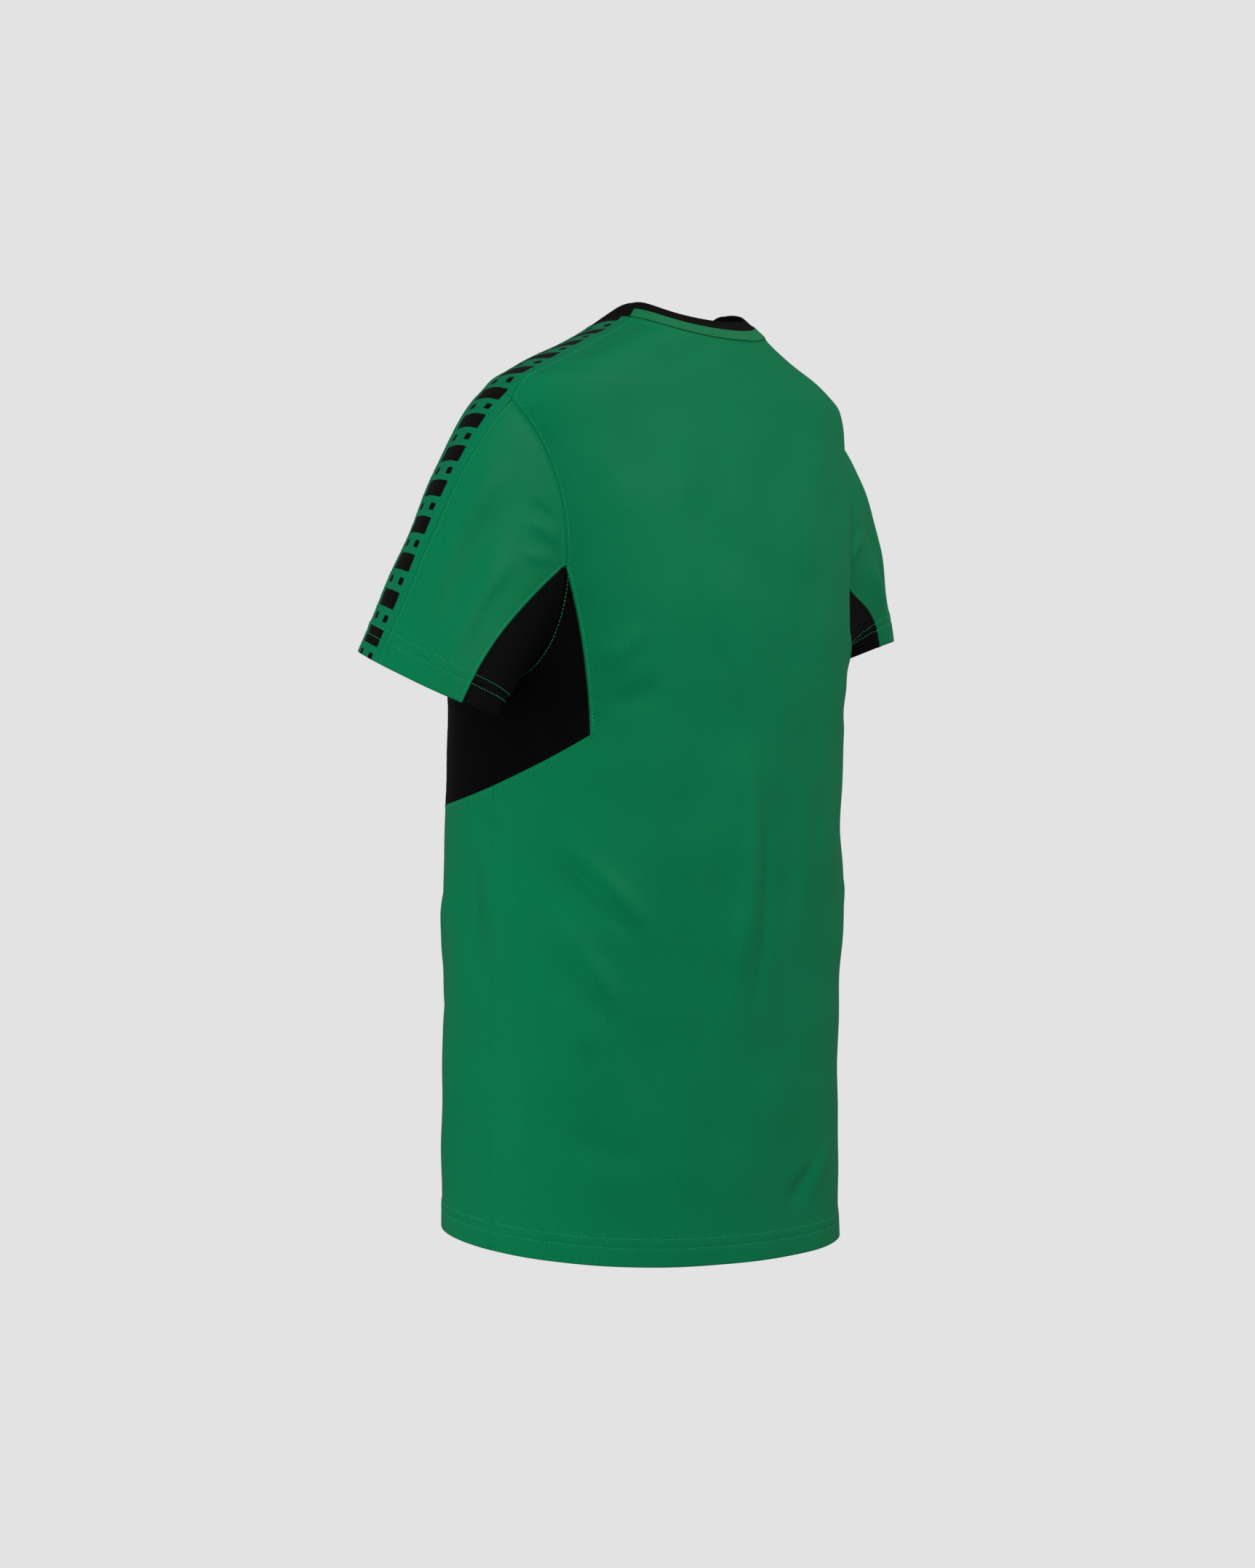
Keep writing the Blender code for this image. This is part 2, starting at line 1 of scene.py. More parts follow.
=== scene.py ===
"""The looks of a short-sleeved football jersey, filled out as on a wearer, with nobody inside.

Metres, +Z up. The front faces -Y and the wearer's left is +X. The jersey's surfaces are the
solids' own, worked out again here from the same tables, and every cloth piece is a thin shell
on them: seams that roll in, turned hems, sewn rows, and listed creases.

A place on the body is a pair: the angle round it (0 at the wearer's left side, a quarter turn
at the back) and the height. A place on a sleeve is the turn round the armhole (0 at its top, a
quarter turn at the back) and the share of the way from the armhole to the cuff.
"""

import logging
import math
from collections.abc import Callable, Sequence
from dataclasses import dataclass
from enum import Enum
from functools import cached_property

import bpy
import numpy as np
from mathutils import Matrix, Vector
from mathutils.geometry import delaunay_2d_cdt
from mathutils.kdtree import KDTree


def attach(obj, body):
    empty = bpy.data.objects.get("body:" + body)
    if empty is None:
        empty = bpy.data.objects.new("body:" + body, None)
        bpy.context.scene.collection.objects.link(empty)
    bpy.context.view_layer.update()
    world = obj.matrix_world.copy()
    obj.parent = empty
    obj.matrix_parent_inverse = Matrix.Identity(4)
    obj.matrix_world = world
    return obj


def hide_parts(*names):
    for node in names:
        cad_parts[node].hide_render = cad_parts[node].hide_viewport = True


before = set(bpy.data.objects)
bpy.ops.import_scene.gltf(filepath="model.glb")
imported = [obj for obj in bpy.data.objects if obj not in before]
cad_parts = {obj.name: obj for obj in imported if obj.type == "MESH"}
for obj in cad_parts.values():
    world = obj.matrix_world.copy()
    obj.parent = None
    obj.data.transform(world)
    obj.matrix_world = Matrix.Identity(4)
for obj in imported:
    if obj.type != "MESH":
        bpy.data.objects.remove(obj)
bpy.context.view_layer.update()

LOG = logging.getLogger("jersey")
Array = np.ndarray
Curve = Callable[[Array], Array]
Colour = tuple[float, float, float]
Span = tuple[float, float]
Socket = bpy.types.NodeSocket
Material = bpy.types.Material
Object = bpy.types.Object
MM = 0.001  # metres
TURN = 2 * math.pi  # radians
QUARTER = math.pi / 2
FAR = 1.0  # the gap noted for a point that is nowhere near a line
HALVINGS = 40  # steps of a search by halves
AT_ONCE = 400_000  # distances worked out together
EDGE_STEPS = (0.03 * MM, 0.35 * MM, 0.85 * MM, 1.6 * MM, 2.4 * MM, 3.4 * MM, 5.0 * MM)  # mesh rows at a seam


# ---- Tables of sizes


@dataclass(frozen=True)
class Section:
    """One oval section of the body, in metres."""

    height: float
    half_width: float
    side_y: float
    back_y: float
    front_y: float


BODY_SECTIONS = (
    Section(0.008, 0.066, -0.005, 0.0356, -0.051),
    Section(0.0, 0.08, -0.0048, 0.0378, -0.054),
    Section(-0.009, 0.096, -0.0044, 0.0404, -0.058),
    Section(-0.022, 0.129, -0.0042, 0.0443, -0.064),
    Section(-0.034, 0.16, -0.0045, 0.048, -0.071),
    Section(-0.046, 0.187, -0.006, 0.051, -0.08),
    Section(-0.058, 0.209, -0.009, 0.054, -0.091),
    Section(-0.08, 0.219, -0.016, 0.058, -0.105),
    Section(-0.11, 0.22, -0.022, 0.064, -0.117),
    Section(-0.15, 0.218, -0.026, 0.073, -0.129),
    Section(-0.2, 0.212, -0.028, 0.081, -0.14),
    Section(-0.26, 0.203, -0.03, 0.085, -0.149),
    Section(-0.33, 0.196, -0.032, 0.085, -0.155),
    Section(-0.45, 0.195, -0.0345, 0.083, -0.16),
    Section(-0.6, 0.195, -0.0365, 0.081, -0.162),
    Section(-0.76, 0.195, -0.0365, 0.081, -0.162),
)


@dataclass(frozen=True)
class Fold:
    """A large soft fold of the body, upright but for its lean. Angles are in degrees."""

    angle: float
    lean: float
    top: float
    bottom: float
    width: float
    height: float


BODY_FOLDS = (
    Fold(84, 3, -0.29, -0.6, 0.026, 0.0035),
    Fold(97, 4, -0.27, -0.62, 0.024, -0.003),
    Fold(36, -34, -0.36, -0.51, 0.02, 0.0028),
    Fold(31, -27, -0.43, -0.57, 0.018, 0.0024),
    Fold(140, 30, -0.36, -0.54, 0.022, 0.0028),
    Fold(-17, 0, -0.38, -0.52, 0.022, -0.003),
    Fold(-62, 20, -0.3, -0.6, 0.026, 0.0032),
    Fold(-84, -4, -0.34, -0.63, 0.024, -0.0028),
    Fold(-118, -22, -0.3, -0.58, 0.026, 0.0032),
    Fold(198, 0, -0.38, -0.54, 0.022, -0.003),
)


@dataclass(frozen=True)
class Crease:
    """A crease along a given path.

    The path's pairs are degrees round the body and a height, or degrees round the armhole
    and a share of the sleeve. Width and height are in millimetres, and a negative height is
    a trough. A skew between -1 and 1 makes one flank steeper than the other.
    """

    path: tuple[tuple[float, float], ...]
    width: float
    height: float
    skew: float = 0.0


BODY_CREASES = (
    # the long upright fold of the back, with the trough beside it
    Crease(((77.5, -0.3), (81.5, -0.388), (80.5, -0.45), (78, -0.5), (76, -0.565)), 10, 1.6, 0.2),
    Crease(((85.5, -0.35), (87.5, -0.42), (87, -0.49), (84, -0.56)), 9.5, -1.5),
    Crease(((100, -0.33), (103, -0.43), (99, -0.52)), 14, 1, -0.2),
    Crease(((62, -0.25), (66, -0.34), (65, -0.43)), 16, -1),
    # drag lines from the corner of the side panel towards the hem
    Crease(((17, -0.39), (34, -0.43), (52, -0.476)), 7.5, 1.4, 0.3),
    Crease(((19, -0.408), (35, -0.448), (50, -0.492)), 8, -1.1),
    Crease(((16, -0.445), (30, -0.492), (44, -0.54)), 8, 1.4, 0.3),
    Crease(((20, -0.478), (31, -0.512), (42, -0.556)), 8, -1),
    Crease(((21, -0.514), (28, -0.544), (35, -0.574)), 8.5, 1.1),
    # dents below and beside the side panel's lower edge
    Crease(((-13, -0.389), (-6, -0.394), (2, -0.396)), 9.5, -1.3),
    Crease(((-12, -0.4), (-11, -0.455), (-10, -0.51)), 11, -1.4),
    Crease(((2, -0.43), (3, -0.48), (2, -0.53)), 11, 1.2),
    # the shoulder blades and the hollow between them
    Crease(((66, -0.135), (75, -0.172), (79, -0.215)), 21, -1.6),
    Crease(((38, -0.094), (46, -0.128), (52, -0.17)), 19, 1.1),
    Crease(((96, -0.12), (104, -0.165), (106, -0.215)), 19, 1.1),
    Crease(((142, -0.1), (135, -0.135), (128, -0.18)), 19, 1),
    # slack below the neck tape
    Crease(((26, -0.0105), (25, -0.026), (19, -0.046)), 8.5, -1.1, -0.3),
    Crease(((35, -0.021), (60, -0.026), (88, -0.027)), 10, -0.9),
    Crease(((150, -0.012), (153, -0.03), (160, -0.048)), 9, -0.9),
    # pulls below the armholes
    Crease(((34, -0.272), (42, -0.262), (52, -0.24)), 9, 1),
    Crease(((36, -0.3), (45, -0.298), (56, -0.286)), 10, -1),
    Crease(((146, -0.268), (138, -0.256), (128, -0.236)), 9, 1),
    Crease(((148, -0.3), (136, -0.302), (124, -0.294)), 10, -1),
    # slack above the hem
    Crease(((112, -0.655), (103, -0.676), (94, -0.692)), 10, -1.3, 0.3),
    Crease(((122, -0.64), (112, -0.668), (103, -0.686)), 10, 1),
    Crease(((24, -0.62), (38, -0.64), (54, -0.65)), 13, -0.9),
    Crease(((60, -0.6), (64, -0.65), (62, -0.69)), 15, 0.8),
    Crease(((138, -0.57), (143, -0.63), (141, -0.68)), 15, -0.9),
    Crease(((8, -0.56), (12, -0.61), (11, -0.66)), 13, 0.9),
    # the far side of the back
    Crease(((163, -0.39), (150, -0.43), (136, -0.462)), 8, 1.3, 0.3),
    Crease(((165, -0.45), (152, -0.492), (140, -0.53)), 8.5, 1.2, 0.3),
    Crease(((160, -0.42), (149, -0.452), (138, -0.486)), 8, -1),
    Crease(((190, -0.4), (191, -0.455), (192, -0.505)), 11, -1.3),
    Crease(((176, -0.43), (177, -0.48), (179, -0.535)), 11, 1.2),
    # the front: chest pulls, upright folds and slack above the hem
    Crease(((-42, -0.24), (-54, -0.27), (-66, -0.31)), 12, 1.4, 0.2),
    Crease(((-44, -0.28), (-56, -0.318), (-66, -0.362)), 11, -1.2),
    Crease(((-136, -0.232), (-126, -0.266), (-113, -0.306)), 12, 1.3, -0.2),
    Crease(((-138, -0.276), (-125, -0.312), (-116, -0.35)), 11, -1.2),
    Crease(((-74, -0.33), (-78, -0.43), (-75, -0.53)), 12, 1.5),
    Crease(((-98, -0.31), (-103, -0.4), (-101, -0.5)), 11, 1.4, 0.2),
    Crease(((-92, -0.36), (-94, -0.44), (-90, -0.56)), 11, -1.3),
    Crease(((-50, -0.42), (-58, -0.48), (-62, -0.56)), 11, 1.3),
    Crease(((-30, -0.43), (-38, -0.474), (-49, -0.512)), 8.5, 1.3, 0.3),
    Crease(((-29, -0.476), (-37, -0.516), (-46, -0.556)), 8.5, -1.1),
    Crease(((-150, -0.42), (-141, -0.466), (-129, -0.508)), 8.5, 1.3, -0.3),
    Crease(((-152, -0.47), (-143, -0.51), (-133, -0.548)), 8.5, -1.1),
    Crease(((-60, -0.112), (-74, -0.15), (-88, -0.176)), 16, -1.1),
    Crease(((-122, -0.116), (-108, -0.15), (-94, -0.172)), 16, 0.9),
    Crease(((-68, -0.61), (-76, -0.65), (-80, -0.69)), 13, 1),
    Crease(((-112, -0.6), (-105, -0.645), (-102, -0.69)), 14, -1),
    Crease(((-22, -0.58), (-28, -0.63), (-27, -0.68)), 12, 1),
    Crease(((-158, -0.59), (-152, -0.64), (-153, -0.684)), 12, 1),
)

SLEEVE_CREASES = {
    "left": (
        # fine creases that run up from the point of the gusset
        Crease(((96, 0.05), (85, 0.16), (74, 0.26)), 4.2, 1.2, 0.3),
        Crease(((90, 0.04), (79, 0.13), (69, 0.21)), 4.2, -1.1),
        Crease(((101, 0.1), (92, 0.24), (82, 0.36)), 5, 1),
        # soft upright folds
        Crease(((66, 0.12), (61, 0.45), (66, 0.88)), 12, -1.5),
        Crease(((50, 0.1), (46, 0.42), (50, 0.84)), 11, 1.2),
        Crease(((84, 0.3), (80, 0.58), (85, 0.93)), 9, 1.4, -0.2),
        Crease(((38, 0.34), (36, 0.62), (40, 0.94)), 10, -1),
        # under the arm and in front
        Crease(((150, 0.1), (155, 0.45), (150, 0.85)), 8, 1.2),
        Crease(((205, 0.08), (212, 0.4), (206, 0.82)), 8, -1.2),
        Crease(((262, 0.05), (272, 0.18), (284, 0.3)), 4.8, 1.2, -0.3),
        Crease(((270, 0.04), (280, 0.14), (291, 0.24)), 4.8, -1),
        Crease(((300, 0.14), (305, 0.5), (299, 0.9)), 12, 1.4),
        Crease(((322, 0.2), (328, 0.52), (324, 0.86)), 11, -1.1),
    ),
    "right": (
        Crease(((98, 0.05), (86, 0.15), (75, 0.27)), 4.5, 1.2, 0.3),
        Crease(((91, 0.04), (80, 0.13), (70, 0.23)), 4.5, -1.1),
        Crease(((68, 0.14), (63, 0.5), (68, 0.9)), 11, -1.3),
        Crease(((48, 0.12), (44, 0.46), (49, 0.86)), 11, 1.2),
        Crease(((86, 0.28), (82, 0.56), (87, 0.92)), 9, 1.2, -0.2),
        Crease(((140, 0.12), (146, 0.46), (141, 0.86)), 8, 1.2),
        Crease(((200, 0.1), (207, 0.44), (202, 0.84)), 8, -1.2),
        Crease(((264, 0.05), (274, 0.17), (286, 0.3)), 4.8, 1.2, -0.3),
        Crease(((296, 0.16), (302, 0.52), (297, 0.9)), 12, 1.4),
        Crease(((320, 0.18), (325, 0.5), (321, 0.88)), 11, -1.1),
    ),
}


@dataclass(frozen=True)
class SleeveSizes:
    """Where a sleeve's cuff lies and how the sleeve runs to it, for a sleeve on the left.

    The cuff's axis leans out and to the front, and its ring is turned round it by some
    degrees. The sleeve arrives heading down, out and to the front. The slacks are shares of
    the straight way, and the slopes are those at the top and the foot of the armhole.
    """

    side: int
    cuff: tuple[float, float, float]
    rise_out: float
    rise_front: float
    radius: float
    turn: float
    out: float
    front: float
    slack_arm: float
    slack_cuff: float
    slope_top: float
    slope_under: float


SLEEVES = {
    "left": SleeveSizes(side=1, cuff=(0.286, -0.029, -0.289), rise_out=0.25, rise_front=0.405,
                        radius=0.057, turn=-41, out=0.53, front=0.11, slack_arm=0.71,
                        slack_cuff=1.03, slope_top=0.63, slope_under=0.51),
    "right": SleeveSizes(side=-1, cuff=(0.286, -0.0515, -0.2625), rise_out=0.24, rise_front=-0.30,
                         radius=0.057, turn=-7, out=0.45, front=0.13, slack_arm=0.85,
                         slack_cuff=1.12, slope_top=0.28, slope_under=0.94),
}


class Edge(Enum):
    """What a stretch of a piece's outline is."""

    HEM = "turned hem or cuff"
    SIDE = "side seam"
    PANEL = "seam of a black piece"
    ARMHOLE = "armhole seam"
    SHOULDER = "seam of the shoulder tape"
    NECK = "neck seam"


class Slot(Enum):
    """The record's material slots."""

    GREEN = "green_knit"
    BLACK = "black_knit"
    TAPE = "shoulder_tape"
    NECK_TAPE = "neck_tape"
    RIB = "black_rib"


# ---- Small helpers


def unit(vectors: Array) -> Array:
    """Vectors of length one."""
    return vectors / np.linalg.norm(vectors, axis=-1, keepdims=True)


def smoothstep(value: Array) -> Array:
    """A soft step from 0 to 1."""
    share = np.clip(value, 0, 1)
    return share * share * (3 - 2 * share)


def bump(value: Array, middle: float, reach: float) -> Array:
    """A round bump of height one about a middle."""
    return np.exp(-(((value - middle) / reach) ** 2))


def paired(first: Array | float, second: Array | float) -> Array:
    """Pairs of numbers, such as places, along a new last axis."""
    return np.stack(np.broadcast_arrays(first, second), axis=-1)


def run_lengths(points: Array, axis: int = 0) -> Array:
    """The runs along a line of points, or along the lines of a grid, from 0 at their first points."""
    steps = np.linalg.norm(np.diff(points, axis=axis), axis=-1)
    return np.concatenate([np.zeros_like(steps.take([0], axis)), np.cumsum(steps, axis=axis)], axis=axis)


def read_off(wanted: Array, run: Array, rows: Array) -> Array:
    """Rows of numbers, such as points, read off at some runs along their line."""
    return np.stack([np.interp(wanted, run, column) for column in rows.T], axis=1)


def smooth_run(w: Array, start: Array, leave: Array, end: Array, arrive: Array) -> Array:
    """A smooth run between two ends at a share w, with its speed given at both."""
    return ((1 + 2 * w) * (1 - w) ** 2 * start + w * (1 - w) ** 2 * leave
            + w * w * (3 - 2 * w) * end + w * w * (w - 1) * arrive)


def by_halves(low: float, high: float, passes: Curve, count: int) -> tuple[Array, Array]:
    """Closes in on the numbers at which a test changes.

    Args:
        low: A number that passes the test.
        high: A number that does not.
        passes: The test, for an array of numbers.
        count: How many numbers are looked for.

    Returns:
        The closest numbers found below and above each change.
    """
    below, above = np.full(count, low), np.full(count, high)
    for _ in range(HALVINGS):
        middle = (below + above) / 2
        passed = passes(middle)
        below, above = np.where(passed, middle, below), np.where(passed, above, middle)
    return below, above


def rounded_path(corners: Array, count: int = 25) -> Array:
    """A smooth path through a few corners.

    Args:
        corners: The corners, one row each.
        count: How many points the path has.

    Returns:
        The points of a Catmull-Rom curve, one row each.
    """
    ends = np.vstack([2 * corners[0] - corners[1], corners, 2 * corners[-1] - corners[-2]])
    place = np.linspace(0, len(corners) - 1, count)
    first = np.minimum(place.astype(int), len(corners) - 2)
    w = (place - first)[:, None]
    a, b, c, d = (ends[first + k] for k in range(4))
    return 0.5 * (2 * b + (c - a) * w + (2 * a - 5 * b + 4 * c - d) * w**2 + (3 * b - a - 3 * c + d) * w**3)


@dataclass
class Near:
    """Where points lie beside a line: the gap to it, the run along it and the way to it."""

    gap: Array
    along: Array
    away: Array
    tangent: Array


def near_line(points: Array, line: Array, reach: float = 0.040) -> Near:
    """Finds the nearest place on a line for each point.

    Args:
        points: The points, one row each.
        line: The corners of the line, one row each.
        reach: Points further than this from the line's box are taken as far away.

    Returns:
        The gap, run, offset and direction at the nearest place.
    """
    start, run = line[:-1], np.diff(line, axis=0)
    length, before = np.linalg.norm(run, axis=1), run_lengths(line)
    count = len(points)
    near = Near(np.full(count, FAR), np.zeros(count), np.zeros_like(points), np.zeros_like(points))
    low, high = line.min(axis=0) - reach, line.max(axis=0) + reach
    picked = np.flatnonzero(((points > low) & (points < high)).all(axis=1))
    for block in np.array_split(picked, 1 + len(picked) * len(run) // AT_ONCE):
        away = points[block, None] - start
        share = np.clip((away * run).sum(axis=2) / length**2, 0, 1)
        away -= run * share[..., None]
        gap = np.linalg.norm(away, axis=2)
        best, rows = gap.argmin(axis=1), np.arange(len(block))
        near.gap[block] = gap[rows, best]
        near.along[block] = before[best] + share[rows, best] * length[best]
        near.away[block] = away[rows, best]
        near.tangent[block] = run[best] / length[best][:, None]
    return near


# ---- The jersey's surfaces


class Surface:
    """A smooth surface whose places are pairs of numbers, one row for each place."""

    nudge = (0.01, 0.001)
    hand = 1.0
    tracing = 301

    def point(self, places: Array) -> Array:
        """The points at some places."""
        raise NotImplementedError

    def kept(self, places: Array) -> Array:
        """Places kept within the surface."""
        return places

    def grid_points(self, grid: Array) -> Array:
        """The points of a grid of places, in the same rows and columns."""
        return self.point(grid.reshape(-1, 2)).reshape(*grid.shape[:2], 3)

    def partials(self, places: Array) -> list[Array]:
        """How the point moves with each of the place's two numbers.

        Args:
            places: The places, one row each.

        Returns:
            Two arrays of vectors.
        """
        found = []
        for axis, step in enumerate(self.nudge):
            shift = np.zeros(2)
            shift[axis] = step
            ahead, behind = self.kept(places + shift), self.kept(places - shift)
            found.append((self.point(ahead) - self.point(behind)) / (ahead - behind)[:, axis:axis + 1])
        return found

    def normal(self, places: Array) -> Array:
        """The outward normals at some places."""
        return unit(np.cross(*self.partials(places))) * self.hand

    def slid(self, places: Array, shifts: Array) -> Array:
        """Places moved along the surface.

        Args:
            places: The places, one row each.
            shifts: The move of each in metres, a vector along the surface.

        Returns:
            The new places.
        """
        a, b = self.partials(places)
        aa, ab, bb = (a * a).sum(axis=1), (a * b).sum(axis=1), (b * b).sum(axis=1)
        sa, sb = (a * shifts).sum(axis=1), (b * shifts).sum(axis=1)
        whole = aa * bb - ab * ab
        return places + paired((bb * sa - ab * sb) / whole, (aa * sb - ab * sa) / whole)

    def traced(self, curve: Curve, start: float, end: float, spacing: float) -> Array:
        """Places at even steps along a curve.

        Args:
            curve: Gives places for an array of numbers.
            start: The number at the curve's start.
            end: The number at its end.
            spacing: The length of a step in metres.

        Returns:
            The places, one row each.
        """
        fine = np.linspace(start, end, self.tracing)
        run = run_lengths(self.point(curve(fine)))
        count = max(2, round(run[-1] / spacing))
        return curve(np.interp(np.linspace(0, run[-1], count + 1), run, fine))


@dataclass(frozen=True)
class BodySurface(Surface):
    """The outer surface of the body: oval sections with large soft folds."""

    sections: tuple[Section, ...] = BODY_SECTIONS
    folds: tuple[Fold, ...] = BODY_FOLDS
    squareness: float = 0.02
    girth_radius: float = 0.16
    shoulder_height: float = -0.058
    shoulder_stretch: float = 2.6
    shoulder_span: Span = (-0.10, 0.008)
    chart_turn: float = 1.2 * math.pi
    chart_span: Span = (-0.75, 0.01)
    chart_counts: tuple[int, int] = (217, 96)

    @cached_property
    def table(self) -> tuple[Array, Array]:
        """The sections from the bottom up, and slopes that let no curve bulge between two.

        Returns:
            The rows of sizes, each with its height first, and the sizes' slopes at each row.
        """
        rows = np.array([(s.height, s.half_width, s.side_y, s.back_y, s.front_y)
                         for s in self.sections[::-1]])
        step = np.diff(rows[:, 0])[:, None]
        rise = np.diff(rows[:, 1:], axis=0) / step
        slope = np.zeros((len(rows), 4))
        slope[0], slope[-1] = rise[0], rise[-1]
        before, after = 2 * step[1:] + step[:-1], step[1:] + 2 * step[:-1]
        with np.errstate(divide="ignore", invalid="ignore"):
            mean = (before + after) / (before / rise[:-1] + after / rise[1:])
        slope[1:-1] = np.where(rise[:-1] * rise[1:] > 0, mean, 0)
        return rows, slope

    def section(self, height: Array) -> Array:
        """Half width, side, back and front of the sections at some heights, one row each."""
        rows, slope = self.table
        i = np.clip(np.searchsorted(rows[:, 0], height) - 1, 0, len(rows) - 2)
        step = rows[i + 1, :1] - rows[i, :1]
        w = (height[:, None] - rows[i, :1]) / step
        return smooth_run(w, rows[i, 1:], step * slope[i], rows[i + 1, 1:], step * slope[i + 1])

    def across(self, angle: Array) -> Array:
        """Share of the half width at an angle of the section."""
        return np.cos(angle) * (1 + self.squareness) - self.squareness * np.cos(3 * angle)

    def along(self, angle: Array) -> Array:
        """Share of the depth at an angle of the section."""
        return np.sin(angle) * (1 + self.squareness) + self.squareness * np.sin(3 * angle)

    def fold_lift(self, places: Array) -> Array:
        """How far the large folds lift the cloth."""
        angle, height = places.T
        lift = np.zeros(len(places))
        for fold in self.folds:
            up = np.clip((height - fold.bottom) / (fold.top - fold.bottom), 0, 1)
            centre = np.radians(fold.angle + fold.lean * (up - 0.5))
            turn = (angle - centre + math.pi) % TURN - math.pi
            lift += fold.height * np.sin(math.pi * up) ** 2 * bump(turn * self.girth_radius, 0, fold.width)
        return lift

    def point(self, places: Array) -> Array:
        """The points at some angles and heights."""
        angle, height = places.T
        half_width, side_y, back_y, front_y = self.section(height).T
        share = self.along(angle)
        depth = np.where(share > 0, back_y - side_y, side_y - front_y)
        lift = self.fold_lift(places)
        x = half_width * self.across(angle) + lift * np.cos(angle)
        return np.stack([x, side_y + depth * share + lift * np.sin(angle), height], axis=1)

    def angle_at(self, y: Array, height: Array) -> Array:
        """The angles on the left half where the sections at some heights have these depths."""
        _, side_y, back_y, front_y = self.section(height).T
        share = (y - side_y) / np.where(y > side_y, back_y - side_y, side_y - front_y)
        return sum(by_halves(-QUARTER, QUARTER, lambda angle: self.along(angle) < share, len(y))) / 2

    def place_at(self, x: Array, y: Array) -> Array:
        """The places on the left shoulder that lie this far out and back in the plan."""

        def wide(height: Array) -> Array:
            """Whether the sections at some heights reach past the places."""
            return self.section(height)[:, 0] * self.across(self.angle_at(y, height)) > x

        height, _ = by_halves(*self.shoulder_span, wide, len(x))
        return paired(self.angle_at(y, height), height)

    def to_flat(self, places: Array) -> Array:
        """Places laid out flat, with the shoulder's slope unrolled."""
        over = np.maximum(0, places[:, 1] - self.shoulder_height)
        return paired(places[:, 0] * self.girth_radius, places[:, 1] + over * (self.shoulder_stretch - 1))

    def from_flat(self, flat: Array) -> Array:
        """The places that flat points stand for."""
        over = np.maximum(0, flat[:, 1] - self.shoulder_height)
        return paired(flat[:, 0] / self.girth_radius, flat[:, 1] - over * (1 - 1 / self.shoulder_stretch))

    @cached_property
    def charts(self) -> tuple[Array, Array, Array, Array]:
        """True lengths over the body: the angles, the heights, the run round and the run up."""
        angles = np.linspace(-self.chart_turn, self.chart_turn, self.chart_counts[0])
        heights = np.linspace(*self.chart_span, self.chart_counts[1])
        points = self.grid_points(np.stack(np.meshgrid(angles, heights), axis=2))
        around = run_lengths(points, 1)
        return angles, heights, around - around[:, [len(angles) // 2]], run_lengths(points)

    def chart(self, places: Array) -> Array:
        """The true run round and up the body at some places, for the weave."""
        angles, heights, around, up = self.charts
        i = np.clip(np.searchsorted(angles, places[:, 0]) - 1, 0, len(angles) - 2)
        j = np.clip(np.searchsorted(heights, places[:, 1]) - 1, 0, len(heights) - 2)
        s = (places[:, 0] - angles[i]) / (angles[i + 1] - angles[i])
        t = (places[:, 1] - heights[j]) / (heights[j + 1] - heights[j])
        return paired(*((1 - t) * ((1 - s) * table[j, i] + s * table[j, i + 1])
                        + t * ((1 - s) * table[j + 1, i] + s * table[j + 1, i + 1])
                        for table in (around, up)))


